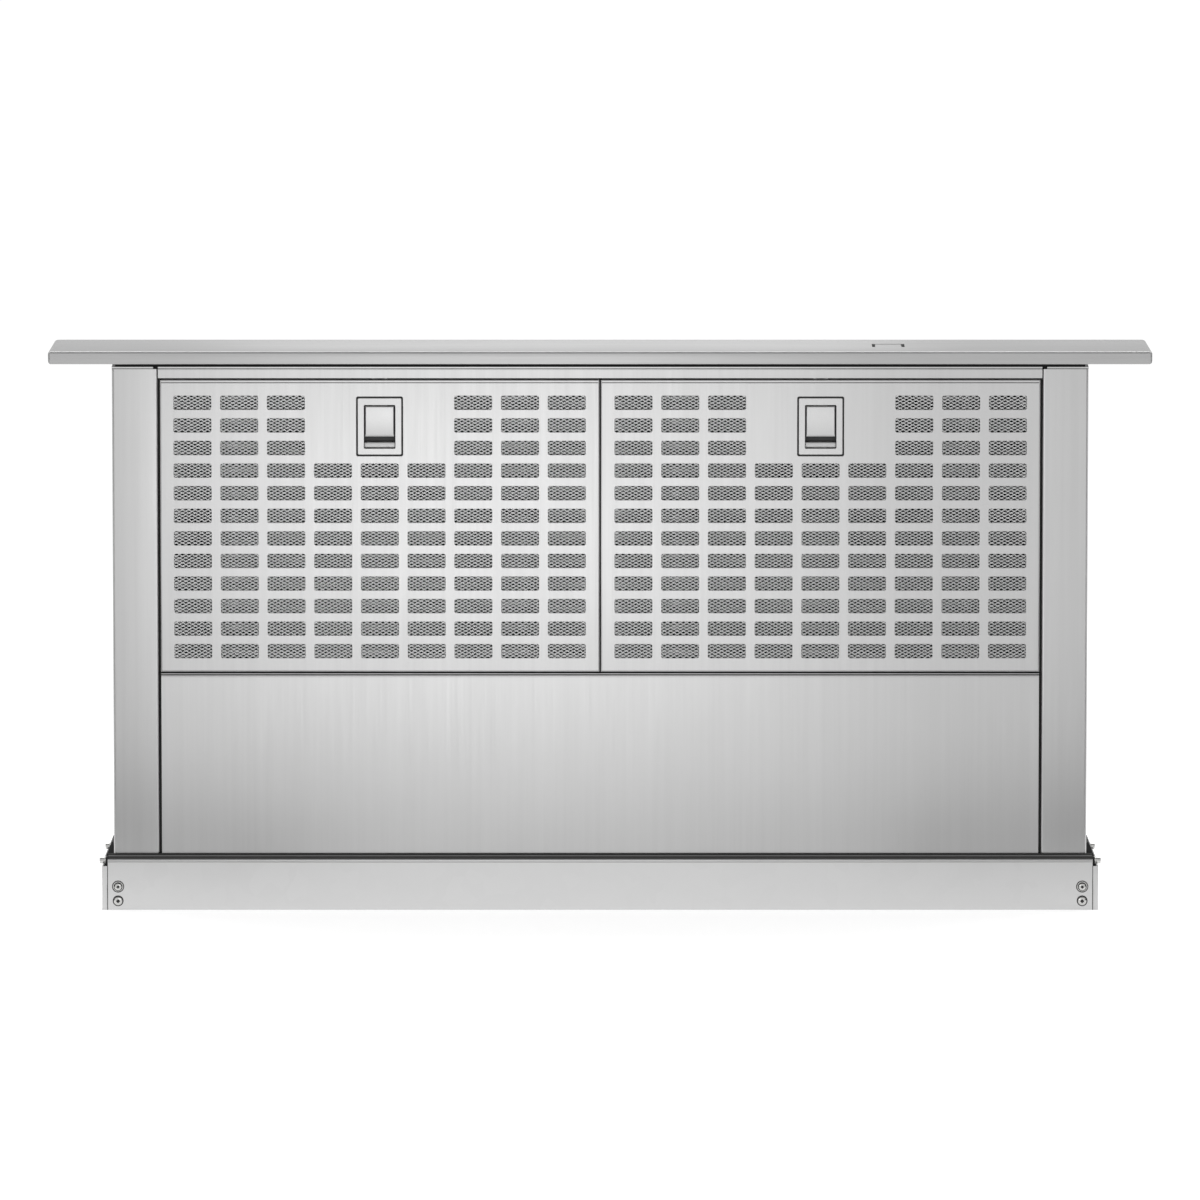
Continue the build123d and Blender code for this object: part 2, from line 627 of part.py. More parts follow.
with BuildPart() as motor_pulley:
    for radius, bottom, height in pulley_deck(DRIVE_DECK):
        with BuildSketch(Plane.XY.offset(bottom)):
            with Locations((MOTOR_X, 0)):
                Circle(radius)
        extrude(amount=height)
    with BuildSketch(Plane.XY.offset(DRIVE_DECK)):
        with Locations((MOTOR_X, 0)):
            Circle(MOTOR_SHAFT_R)
    extrude(amount=GEARBOX_BOTTOM - DRIVE_DECK + MOTOR_SHAFT_IN)
save(motor_pulley, "motor_pulley")

BELT_IN = PULLEY_R + BELT_GAP
BELT_OUT = BELT_IN + BELT_T
BELT_RAISE = PULLEY_FLANGE_T + (BELT_DECK - BELT_W) / 2
with BuildPart() as sync_belt:
    with BuildSketch(Plane.XY.offset(PULLEY_BOTTOM + BELT_RAISE)):
        SlotCenterToCenter(2 * POST_X, 2 * BELT_OUT)
        SlotCenterToCenter(2 * POST_X, 2 * BELT_IN, mode=Mode.SUBTRACT)
    extrude(amount=BELT_W)
save(sync_belt, "sync_belt")

with BuildPart() as drive_belt:
    with BuildSketch(Plane.XY.offset(DRIVE_DECK + BELT_RAISE)):
        with Locations((POST_X - MOTOR_OFFSET / 2, 0)):
            SlotCenterToCenter(MOTOR_OFFSET, 2 * BELT_OUT)
            SlotCenterToCenter(MOTOR_OFFSET, 2 * BELT_IN, mode=Mode.SUBTRACT)
    extrude(amount=BELT_W)
save(drive_belt, "drive_belt")

with BuildPart() as gearmotor:
    with BuildSketch(Plane.XY.offset(GEARBOX_BOTTOM)):
        with Locations((MOTOR_X, 0)):
            RectangleRounded(GEARBOX_W, GEARBOX_D, PLATE_CORNER_R)
    extrude(amount=GEARBOX_H)
    with BuildSketch(Plane.XY.offset(GEARBOX_BOTTOM + GEARBOX_H)):
        with Locations((MOTOR_X, 0)):
            Circle(MOTOR_R)
    extrude(amount=MOTOR_H)
    chamfer(gearmotor.edges().group_by(Axis.Z)[-1], MOTOR_EDGE)
    with BuildSketch(Plane.XY.offset(GEARBOX_BOTTOM)):
        with Locations((MOTOR_X, 0)):
            Circle(MOTOR_SHAFT_R + BORE_GAP)
    extrude(amount=GEARBOX_H / 2, mode=Mode.SUBTRACT)
save(gearmotor, "gearmotor")

with BuildPart() as motor_bracket:
    with BuildSketch(Plane.XY.offset(GEARBOX_BOTTOM - BRACKET_T)):
        with Locations((MOTOR_X, (PANEL_Y - GEARBOX_D / 2) / 2)):
            Rectangle(BRACKET_W, PANEL_Y + GEARBOX_D / 2)
        with Locations((MOTOR_X, 0)):
            Circle(MOTOR_SHAFT_R * 2, mode=Mode.SUBTRACT)
    extrude(amount=BRACKET_T)
    with BuildSketch(upright(PANEL_Y)):
        with Locations((MOTOR_X, GEARBOX_BOTTOM + BRACKET_FLANGE_H / 2)):
            Rectangle(BRACKET_W, BRACKET_FLANGE_H)
    extrude(amount=BRACKET_T)
save(motor_bracket, "motor_bracket")

# Reed switches in the right-hand channel tell the controller that the column is up or down.
with BuildPart() as limit_switches:
    switch_x = (COLUMN_W / 2 + SWITCH_BODY_GAP + WEB_IN) / 2
    switch_y = PANEL_Y - SHEET - SWITCH_BODY_W / 2
    for z in (COLUMN_BOTTOM + PAD_RAISE + PAD_H, COLUMN_BOTTOM + PAD_RAISE + PAD_H - LIFT_TRAVEL):
        with BuildSketch(Plane.XY.offset(z)):
            with Locations((switch_x, switch_y)):
                Rectangle(WEB_IN - COLUMN_W / 2 - SWITCH_BODY_GAP, SWITCH_BODY_W)
        extrude(amount=SWITCH_BODY_H)
save(limit_switches, "limit_switches")

# ---- Feet ----------------------------------------------------------------------------------
ARM_IN = WEB_OUT + SMALL_GAP
for side, sign in SIDES.items():
    with BuildPart() as foot:
        with BuildSketch(Plane.YZ.offset(sign * ARM_IN)):
            with Locations((0, FOOT_ARM_H / 2)):
                Rectangle(FOOT_ARM_W, FOOT_ARM_H)
            slot_mid = FOOT_BOLT_Z + FOOT_TRAVEL / 2
            with Locations((0, slot_mid)):
                with GridLocations(FOOT_BOLT_PITCH, 0, 2, 1):
                    SlotCenterToCenter(
                        FOOT_TRAVEL,
                        2 * (FOOT_BOLT_R + SMALL_GAP),
                        rotation=90,
                        mode=Mode.SUBTRACT,
                    )
        extrude(amount=sign * FOOT_T)
        with BuildSketch(Plane.XY):
            plate_x = ARM_IN + FOOT_T - FOOT_PLATE_W / 2
            with Locations((sign * plate_x, 0)):
                RectangleRounded(FOOT_PLATE_W, FOOT_PLATE_L, PLATE_CORNER_R)
                with GridLocations(0, FOOT_HOLE_PITCH, 1, 2):
                    Circle(FOOT_HOLE_R, mode=Mode.SUBTRACT)
        extrude(amount=FOOT_T)
    save(foot, f"foot_{side}")

with BuildPart() as foot_bolts:
    for sign in SIDES.values():
        with BuildSketch(Plane.YZ.offset(sign * (ARM_IN + FOOT_T + SMALL_GAP))):
            with Locations((0, FOOT_BOLT_Z)):
                with GridLocations(FOOT_BOLT_PITCH, 0, 2, 1):
                    RegularPolygon(FOOT_BOLT_HEAD_R, 6)
        extrude(amount=sign * FOOT_BOLT_HEAD)
        with BuildSketch(Plane.YZ.offset(sign * (WEB_IN - FOOT_BOLT_NUT_T))):
            with Locations((0, FOOT_BOLT_Z)):
                with GridLocations(FOOT_BOLT_PITCH, 0, 2, 1):
                    Circle(FOOT_BOLT_R)
        extrude(amount=sign * (FOOT_BOLT_NUT_T + SHEET + 2 * SMALL_GAP + FOOT_T))
        with BuildSketch(Plane.YZ.offset(sign * WEB_IN)):
            with Locations((0, FOOT_BOLT_Z)):
                with GridLocations(FOOT_BOLT_PITCH, 0, 2, 1):
                    RegularPolygon(FOOT_BOLT_NUT_R, 6)
        extrude(amount=-sign * FOOT_BOLT_NUT_T)
save(foot_bolts, "foot_bolts")

# ============================================================================================
# Column
# ============================================================================================

for side, sign in SIDES.items():
    with BuildPart() as post:
        with BuildSketch(Plane.XY.offset(COLUMN_BOTTOM)):
            with Locations((sign * POST_X, 0)):
                RectangleRounded(POST_W, COLUMN_D, POST_R)
                Rectangle(POST_W - 2 * SHEET, COLUMN_D - 2 * SHEET, mode=Mode.SUBTRACT)
        extrude(amount=POST_TOP - COLUMN_BOTTOM)
    save(post, f"post_{side}")

# The header's top web laps over both posts, and its face closes the gap above the filters.
with BuildPart() as header_rail:
    with BuildSketch(Plane.XY.offset(POST_TOP)):
        Rectangle(COLUMN_W, COLUMN_D)
        with GridLocations(2 * CAP_SCREW_X, RAIL_D + RAIL_FOOT, 2, 2):
            Circle(CAP_SCREW_R + SCREW_HOLE_GAP, mode=Mode.SUBTRACT)
    extrude(amount=SHEET)
    with BuildSketch(upright(FRONT_Y)):
        with Locations((0, POST_TOP - HEADER_FACE_H / 2)):
            Rectangle(2 * POST_IN, HEADER_FACE_H)
    extrude(amount=-SHEET)
    with BuildSketch(upright(FRONT_Y)):
        with Locations((0, POST_TOP - HEADER_LINE / 2)):
            Rectangle(2 * POST_IN, HEADER_LINE)
    extrude(amount=-HEADER_LINE, mode=Mode.SUBTRACT)
    with BuildSketch(Plane.XY.offset(POST_TOP)):
        with Locations(*[(s * (POST_IN + RELIEF_W / 2), FRONT_Y + RELIEF_D / 2) for s in (-1, 1)]):
            Rectangle(RELIEF_W, RELIEF_D)
    extrude(amount=SHEET, mode=Mode.SUBTRACT)
save(header_rail, "header_rail")

LOWER_PANEL_W = 2 * (POST_IN - PANEL_SIDE_GAP)
with BuildPart() as lower_front_panel:
    with BuildSketch(Plane.XY.offset(COLUMN_BOTTOM)):
        with Locations((0, FRONT_Y + PANEL_RETURN / 2)):
            Rectangle(LOWER_PANEL_W, PANEL_RETURN)
        with Locations((0, FRONT_Y + SHEET + PANEL_RETURN / 2)):
            Rectangle(LOWER_PANEL_W - 2 * SHEET, PANEL_RETURN, mode=Mode.SUBTRACT)
    extrude(amount=LEDGE_TOP - COLUMN_BOTTOM)
    # The top edge folds back as the ledge that the filters' hooks drop into.
    with BuildSketch(Plane.XY.offset(LEDGE_TOP - SHEET)):
        with Locations((0, (FRONT_Y + SEAT_Y + SHEET) / 2)):
            Rectangle(LOWER_PANEL_W, SEAT_Y + SHEET - FRONT_Y)
        with Locations(*[(s * FILTER_X + h * HOOK_X, HOOK_MID_Y) for s in (-1, 1) for h in (-1, 1)]):
            Rectangle(HOOK_W + HOOK_SLOT_GAP, HOOK_T + 2 * HOOK_SLOT_GAP, mode=Mode.SUBTRACT)
    extrude(amount=SHEET)
    fold = lower_front_panel.edges().filter_by(Axis.X).group_by(Axis.Z)[-1].sort_by(Axis.Y)[0]
    fillet(fold, PANEL_FOLD_R)
save(lower_front_panel, "lower_front_panel")

with BuildPart() as column_rear_panel:
    with BuildSketch(upright(BACK_Y - SHEET)):
        with Locations((0, (COLUMN_BOTTOM + POST_TOP) / 2)):
            Rectangle(2 * POST_IN, POST_TOP - COLUMN_BOTTOM)
    extrude(amount=-SHEET)
save(column_rear_panel, "column_rear_panel")

with BuildPart() as filter_seat_frame:
    with BuildSketch(upright(SEAT_Y)):
        with Locations((0, (LEDGE_TOP + POST_TOP) / 2)):
            Rectangle(2 * POST_IN, POST_TOP - LEDGE_TOP)
        with Locations((-FILTER_X, FILTER_MID), (FILTER_X, FILTER_MID)):
            Rectangle(FILTER_W - 2 * SEAT_MARGIN, FILTER_H - 2 * SEAT_MARGIN, mode=Mode.SUBTRACT)
    extrude(amount=-SHEET)
save(filter_seat_frame, "filter_seat_frame")

MULLION_BOTTOM = COLUMN_BOTTOM + BOTTOM_RING_H
with BuildPart() as centre_mullion:
    mullion_front = SEAT_Y + SHEET
    mullion_d = BACK_Y - SHEET - mullion_front
    with BuildSketch(Plane.XY.offset(MULLION_BOTTOM)):
        with Locations((0, mullion_front + mullion_d / 2)):
            Rectangle(MULLION_W, mullion_d)
        with Locations((0, mullion_front + SHEET + mullion_d / 2)):
            Rectangle(MULLION_W - 2 * SHEET, mullion_d, mode=Mode.SUBTRACT)
    extrude(amount=POST_TOP - MULLION_BOTTOM)
save(centre_mullion, "centre_mullion")

with BuildPart() as bottom_ring:
    ring_w = LOWER_PANEL_W - 2 * SHEET
    ring_d = COLUMN_D - 2 * SHEET
    with BuildSketch(Plane.XY.offset(COLUMN_BOTTOM)):
        Rectangle(ring_w, ring_d)
        Rectangle(ring_w - 2 * BOTTOM_RING_T, ring_d - 2 * BOTTOM_RING_T, mode=Mode.SUBTRACT)
    extrude(amount=BOTTOM_RING_H)
save(bottom_ring, "bottom_ring")

# Felt strips round the column's foot keep the air inside the chassis.
with BuildPart() as slide_seals:
    seal_depth = PANEL_Y - BACK_Y - PAD_GAP
    with BuildSketch(Plane.XY.offset(COLUMN_BOTTOM + SLIDE_SEAL_RAISE)):
        with Locations(*[(0, facing * (BACK_Y + seal_depth / 2)) for facing in (-1, 1)]):
            Rectangle(LOWER_PANEL_W, seal_depth)
    extrude(amount=SLIDE_SEAL_H)
save(slide_seals, "slide_seals")

with BuildPart() as glide_pads:
    pad_t = WEB_IN - COLUMN_W / 2 - PAD_GAP
    with BuildSketch(Plane.XY.offset(COLUMN_BOTTOM + PAD_RAISE)):
        with Locations(*[(sign * (COLUMN_W / 2 + pad_t / 2), 0) for sign in (-1, 1)]):
            Rectangle(pad_t, PAD_W)
    extrude(amount=PAD_H)
    chamfer(glide_pads.edges().group_by(Axis.X)[0].filter_by(Axis.Y), PAD_EDGE)
    chamfer(glide_pads.edges().group_by(Axis.X)[-1].filter_by(Axis.Y), PAD_EDGE)
save(glide_pads, "glide_pads")

with BuildPart() as lift_nuts:
    with BuildSketch(Plane.XY.offset(COLUMN_BOTTOM)):
        with Locations((-POST_X, 0), (POST_X, 0)):
            Rectangle(POST_W - 2 * SHEET, COLUMN_D - 2 * SHEET)
            Circle(SCREW_R + BORE_GAP, mode=Mode.SUBTRACT)
    extrude(amount=NUT_H)
save(lift_nuts, "lift_nuts")

# ---- Cap and button ------------------------------------------------------------------------
with BuildPart() as cap:
    with BuildSketch(Plane.XY.offset(CAP_TOP - CAP_H)):
        RectangleRounded(CAP_W, CAP_D, CAP_CORNER_R)
    extrude(amount=CAP_H)
    fillet(cap.edges().group_by(Axis.Z)[-1], CAP_EDGE_R)
    with BuildSketch(Plane.XY.offset(CAP_TOP - CAP_H)):
        Rectangle(CAP_W - 2 * SHEET, CAP_D - 2 * SHEET)
    extrude(amount=CAP_H - SHEET, mode=Mode.SUBTRACT)
    with BuildSketch(Plane.XY.offset(CAP_TOP - SHEET)):
        with Locations((BUTTON_X, 0)):
            Rectangle(BUTTON_SIZE + 2 * BUTTON_GAP, BUTTON_SIZE + 2 * BUTTON_GAP)
    extrude(amount=SHEET, mode=Mode.SUBTRACT)
save(cap, "cap")

# A hat-section rail joins the cap to the header and leaves a window round the button.
RAIL_TOP = CAP_TOP - SHEET
with BuildPart() as cap_rail:
    rail_h = RAIL_TOP - HEADER_TOP
    with BuildSketch(Plane.YZ.offset(-RAIL_W / 2)):
        with Locations((0, HEADER_TOP + rail_h / 2)):
            Rectangle(RAIL_D, rail_h)
        with Locations((0, HEADER_TOP + SHEET / 2)):
            Rectangle(RAIL_D + 2 * RAIL_FOOT, SHEET)
        with Locations((0, HEADER_TOP + rail_h / 2 - SHEET)):
            Rectangle(RAIL_D - 2 * SHEET, rail_h, mode=Mode.SUBTRACT)
    extrude(amount=RAIL_W)
    with BuildSketch(Plane.XY.offset(RAIL_TOP - SHEET)):
        with Locations((BUTTON_X, 0)):
            button_window = BUTTON_SIZE + 2 * (BUTTON_FLANGE + BUTTON_GAP)
            Rectangle(button_window, button_window)
    extrude(amount=SHEET, mode=Mode.SUBTRACT)
    with BuildSketch(Plane.XY.offset(HEADER_TOP)):
        with GridLocations(2 * CAP_SCREW_X, RAIL_D + RAIL_FOOT, 2, 2):
            Circle(CAP_SCREW_R + SCREW_HOLE_GAP)
    extrude(amount=SHEET, mode=Mode.SUBTRACT)
save(cap_rail, "cap_rail")

with BuildPart() as cap_screws:
    with BuildSketch(Plane.XY.offset(POST_TOP)):
        with GridLocations(2 * CAP_SCREW_X, RAIL_D + RAIL_FOOT, 2, 2):
            Circle(CAP_SCREW_R)
    extrude(amount=2 * SHEET)
    with BuildSketch(Plane.XY.offset(HEADER_TOP + SHEET)):
        with GridLocations(2 * CAP_SCREW_X, RAIL_D + RAIL_FOOT, 2, 2):
            Circle(CAP_SCREW_HEAD_R)
    extrude(amount=CAP_SCREW_HEAD_H)
save(cap_screws, "cap_screws")

BUTTON_TOP = CAP_TOP - BUTTON_SINK
BUTTON_BOTTOM = BUTTON_TOP - BUTTON_H
with BuildPart() as power_button:
    with BuildSketch(Plane.XY.offset(BUTTON_BOTTOM)):
        with Locations((BUTTON_X, 0)):
            Rectangle(BUTTON_SIZE, BUTTON_SIZE)
    extrude(amount=BUTTON_H)
    chamfer(power_button.edges().group_by(Axis.Z)[-1], BUTTON_GAP)
    with BuildSketch(Plane.XY.offset(CAP_TOP - BUTTON_FLANGE_DROP)):
        with Locations((BUTTON_X, 0)):
            Rectangle(BUTTON_SIZE + 2 * BUTTON_FLANGE, BUTTON_SIZE + 2 * BUTTON_FLANGE)
    extrude(amount=-BUTTON_FLANGE_T)
    with BuildSketch(Plane.XY.offset(BUTTON_BOTTOM)):
        with Locations((BUTTON_X, 0)):
            Circle(BUTTON_STEM_R)
    extrude(amount=-BUTTON_STEM_L)
save(power_button, "power_button")

with BuildPart() as push_switch:
    with BuildSketch(Plane.XY.offset(HEADER_TOP)):
        with Locations((BUTTON_X, 0)):
            Rectangle(SWITCH_SIZE, SWITCH_SIZE)
    extrude(amount=SWITCH_H)
    with BuildSketch(Plane.XY.offset(BUTTON_BOTTOM - BUTTON_STEM_L - BUTTON_TRAVEL - SMALL_GAP)):
        with Locations((BUTTON_X, 0)):
            Circle(BUTTON_STEM_R + BORE_GAP)
    extrude(amount=SWITCH_H, mode=Mode.SUBTRACT)
save(push_switch, "push_switch")

# ============================================================================================
# Grease filters
# ============================================================================================

LATCH_OPEN_W = LATCH_W + 2 * LATCH_GAP
LATCH_OPEN_H = LATCH_H + 2 * LATCH_GAP
CLAMP_W = LATCH_OPEN_W + 2 * LATCH_CLAMP
CLAMP_H = LATCH_OPEN_H + 2 * LATCH_CLAMP
CLAMP_Y = FRONT_Y + FILTER_SHEET + LATCH_CLAMP_T
BOLT_TOP = FILTER_TOP + BOLT_REACH
BOLT_MID_Y = (TAB_BACK + BOLT_BACK) / 2
BOLT_T = BOLT_BACK - TAB_BACK
MESH_BACK = FRONT_Y + FILTER_SHEET + MESH_T
INNER_W = FILTER_W - 2 * (FILTER_SHEET + MESH_INSET)
INNER_H = FILTER_H - 2 * (FILTER_SHEET + MESH_INSET)


def slot_centres(middle_x):
    """Centres of the face's slots, row by row, without the bare patch round the latch."""
    columns = int((FILTER_W - 2 * SLOT_EDGE - SLOT_W) / SLOT_PITCH_X) + 1
    rows = int((FILTER_H - SLOT_TOP_MARGIN - SLOT_EDGE - SLOT_H) / SLOT_PITCH_Z) + 1
    xs = [SLOT_PITCH_X * (column - (columns - 1) / 2) for column in range(columns)]
    drops = [SLOT_TOP_MARGIN + SLOT_H / 2 + SLOT_PITCH_Z * row for row in range(rows)]
    return [
        (middle_x + x, FILTER_TOP - drop)
        for drop in drops
        for x in xs
        if drop > BARE_H or abs(x) > BARE_W / 2
    ]


for side, sign in SIDES.items():
    middle = sign * FILTER_X

    # A folded tray with its slots pressed through the face.
    with BuildPart() as filter_face:
        with BuildSketch(upright(FRONT_Y)):
            with Locations((middle, FILTER_MID)):
                Rectangle(FILTER_W, FILTER_H)
        extrude(amount=-FILTER_D)
        fillet(filter_face.edges().group_by(Axis.Y)[0], FILTER_EDGE_R)
        with BuildSketch(upright(FRONT_Y + FILTER_SHEET)):
            with Locations((middle, FILTER_MID)):
                Rectangle(FILTER_W - 2 * FILTER_SHEET, FILTER_H - 2 * FILTER_SHEET)
        extrude(amount=-FILTER_D, mode=Mode.SUBTRACT)
        with BuildSketch(upright(FRONT_Y)):
            with Locations(*slot_centres(middle)):
                Rectangle(SLOT_W, SLOT_H)
            with Locations((middle, LATCH_Z)):
                Rectangle(LATCH_OPEN_W, LATCH_OPEN_H)
        extrude(amount=-FILTER_SHEET, mode=Mode.SUBTRACT)
        with BuildSketch(Plane.XY.offset(FILTER_TOP)):
            with Locations((middle, BOLT_MID_Y)):
                Rectangle(BOLT_W + 2 * SMALL_GAP, BOLT_T + 2 * SMALL_GAP)
        extrude(amount=-2 * FILTER_SHEET, mode=Mode.SUBTRACT)
        with BuildSketch(Plane.XY.offset(FILTER_BOTTOM)):
            with Locations(*[(middle + h * HOOK_X, HOOK_MID_Y) for h in (-1, 1)]):
                Rectangle(HOOK_W + 2 * SMALL_GAP, HOOK_T + 2 * SMALL_GAP)
        extrude(amount=FILTER_SHEET, mode=Mode.SUBTRACT)
    save(filter_face, f"filter_face_{side}")

    # Layers of expanded metal, as one pad with a channel for the latch.
    with BuildPart() as filter_mesh:
        with BuildSketch(upright(FRONT_Y + FILTER_SHEET)):
            with Locations((middle, FILTER_MID)):
                Rectangle(INNER_W, INNER_H)
            channel_bottom = LATCH_Z - CLAMP_H / 2 - MESH_INSET
            with Locations((middle, (channel_bottom + FILTER_TOP) / 2)):
                Rectangle(
                    CLAMP_W + 2 * MESH_INSET, FILTER_TOP - channel_bottom, mode=Mode.SUBTRACT
                )
        extrude(amount=-MESH_T)
    save(filter_mesh, f"filter_mesh_{side}")

    # The back frame holds the mesh in the tray, and its hooks drop into the ledge.
    with BuildPart() as filter_back:
        with BuildSketch(upright(MESH_BACK)):
            with Locations((middle, FILTER_MID)):
                Rectangle(INNER_W, INNER_H)
                Rectangle(INNER_W - 2 * BACK_RING, INNER_H - 2 * BACK_RING, mode=Mode.SUBTRACT)
                Rectangle(INNER_W, BACK_BAR)
            with Locations(*[(middle + h * HOOK_X, FILTER_MID) for h in (-1, 1)]):
                Rectangle(BACK_BAR, INNER_H)
            with Locations((middle, FILTER_TOP - BACK_RING / 2)):
                Rectangle(BOLT_W + 2 * SMALL_GAP, 2 * BACK_RING, mode=Mode.SUBTRACT)
        extrude(amount=-BACK_RING_T)
        with BuildSketch(upright(HOOK_MID_Y - HOOK_T / 2)):
            hook_l = BACK_RING + HOOK_DROP
            with Locations(
                *[(middle + h * HOOK_X, FILTER_BOTTOM - HOOK_DROP + hook_l / 2) for h in (-1, 1)]
            ):
                Rectangle(HOOK_W, hook_l)
        extrude(amount=-HOOK_T)
    save(filter_back, f"filter_back_{side}")

    # Flush latch housing: a frame in the face, a clamping flange behind it and a pocket whose
    # floor curves out to a finger scoop.
    with BuildPart() as latch_housing:
        with BuildSketch(upright(FRONT_Y)):
            with Locations((middle, LATCH_Z)):
                Rectangle(LATCH_W, LATCH_H)
        extrude(amount=-(FILTER_SHEET + LATCH_CLAMP_T))
        with BuildSketch(upright(FRONT_Y + FILTER_SHEET)):
            with Locations((middle, LATCH_Z)):
                Rectangle(CLAMP_W, CLAMP_H)
        extrude(amount=-LATCH_CLAMP_T)
        with BuildSketch(upright(CLAMP_Y)):
            with Locations((middle, WINDOW_Z)):
                Rectangle(WINDOW_W + 2 * POCKET_WALL, WINDOW_H + 2 * POCKET_WALL)
        extrude(amount=-(POCKET_Y + POCKET_BACK - CLAMP_Y))
        with BuildSketch(upright(FRONT_Y)):
            with Locations((middle, WINDOW_Z)):
                Rectangle(WINDOW_W, WINDOW_H)
        extrude(amount=-POCKET_DEPTH, mode=Mode.SUBTRACT)
        with BuildSketch(Plane.YZ.offset(middle)):
            with BuildLine():
                Line((FRONT_Y, WINDOW_BOTTOM), (POCKET_Y, WINDOW_BOTTOM))
                Line((POCKET_Y, WINDOW_BOTTOM), (POCKET_Y, WINDOW_BOTTOM + POCKET_DEPTH))
                RadiusArc(
                    (POCKET_Y, WINDOW_BOTTOM + POCKET_DEPTH),
                    (FRONT_Y, WINDOW_BOTTOM),
                    POCKET_DEPTH,
                )
            make_face()
        extrude(amount=WINDOW_W / 2, both=True)
        shelf_front = TAB_BACK + SMALL_GAP
        with BuildSketch(Plane.XY.offset(WINDOW_BOTTOM + POCKET_DEPTH)):
            with Locations((middle, (shelf_front + POCKET_Y) / 2)):
                Rectangle(LATCH_SPRING_W, POCKET_Y - shelf_front)
        extrude(amount=LATCH_SHELF_H)
        with BuildSketch(Plane.XY.offset(WINDOW_TOP)):
            with Locations((middle, BOLT_MID_Y)):
                Rectangle(BOLT_W + 2 * SMALL_GAP, BOLT_T + 2 * SMALL_GAP)
        extrude(amount=2 * POCKET_WALL, mode=Mode.SUBTRACT)
    save(latch_housing, f"latch_housing_{side}")

    # The finger tab carries the bolt that springs up under the header.
    tab_top = WINDOW_TOP - TAB_GAP
    with BuildPart() as latch_tab:
        with BuildSketch(upright(FRONT_Y + TAB_SINK)):
            with Locations((middle, tab_top - TAB_H / 2)):
                Rectangle(WINDOW_W - 2 * TAB_GAP, TAB_H)
        extrude(amount=-TAB_T)
        chamfer(latch_tab.edges().group_by(Axis.Y)[0], TAB_SINK)
        bolt_bottom = tab_top - BOLT_TAIL
        with BuildSketch(Plane.XY.offset(bolt_bottom)):
            with Locations((middle, BOLT_MID_Y)):
                Rectangle(BOLT_W, BOLT_T)
        extrude(amount=BOLT_TOP - bolt_bottom)
    save(latch_tab, f"latch_tab_{side}")

    # A bowed leaf between the pocket's shelf and the bolt pushes the bolt up.
    with BuildPart() as latch_spring:
        leaf_bottom = WINDOW_BOTTOM + POCKET_DEPTH + LATCH_SHELF_H
        leaf_top = bolt_bottom
        leaf_mid = (leaf_bottom + leaf_top) / 2
        front_edge = BOLT_BACK - SMALL_GAP - LATCH_SPRING_T
        with BuildSketch(Plane.YZ.offset(middle)):
            with BuildLine():
                ThreePointArc(
                    (front_edge, leaf_bottom),
                    (front_edge - LATCH_SPRING_BOW, leaf_mid),
                    (front_edge, leaf_top),
                )
                Line((front_edge, leaf_top), (front_edge + LATCH_SPRING_T, leaf_top))
                ThreePointArc(
                    (front_edge + LATCH_SPRING_T, leaf_top),
                    (front_edge + LATCH_SPRING_T - LATCH_SPRING_BOW, leaf_mid),
                    (front_edge + LATCH_SPRING_T, leaf_bottom),
                )
                Line((front_edge + LATCH_SPRING_T, leaf_bottom), (front_edge, leaf_bottom))
            make_face()
        extrude(amount=LATCH_SPRING_W / 2, both=True)
    save(latch_spring, f"latch_spring_{side}")

    # A bowed keeper under the header hangs just in front of the bolt's tip.
    with BuildPart() as keeper_spring:
        keeper_low = BOLT_TOP - KEEPER_GRIP
        keeper_y = TAB_BACK - 2 * SMALL_GAP
        strip_under = POST_TOP - KEEPER_T
        bow_from = middle - KEEPER_L / 2
        bow_to = middle + KEEPER_L / 2
        with BuildSketch(upright(keeper_y)):
            with BuildLine():
                Polyline(
                    (bow_from, strip_under),
                    (bow_from - KEEPER_FOOT, strip_under),
                    (bow_from - KEEPER_FOOT, POST_TOP),
                    (bow_to + KEEPER_FOOT, POST_TOP),
                    (bow_to + KEEPER_FOOT, strip_under),
                    (bow_to, strip_under),
                )
                ThreePointArc((bow_to, strip_under), (middle, keeper_low), (bow_from, strip_under))
            make_face()
            with BuildLine():
                Line((bow_from + KEEPER_T, strip_under), (bow_to - KEEPER_T, strip_under))
                ThreePointArc(
                    (bow_to - KEEPER_T, strip_under),
                    (middle, keeper_low + KEEPER_T),
                    (bow_from + KEEPER_T, strip_under),
                )
            make_face(mode=Mode.SUBTRACT)
        extrude(amount=KEEPER_W)
    save(keeper_spring, f"keeper_spring_{side}")
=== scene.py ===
import json
import math

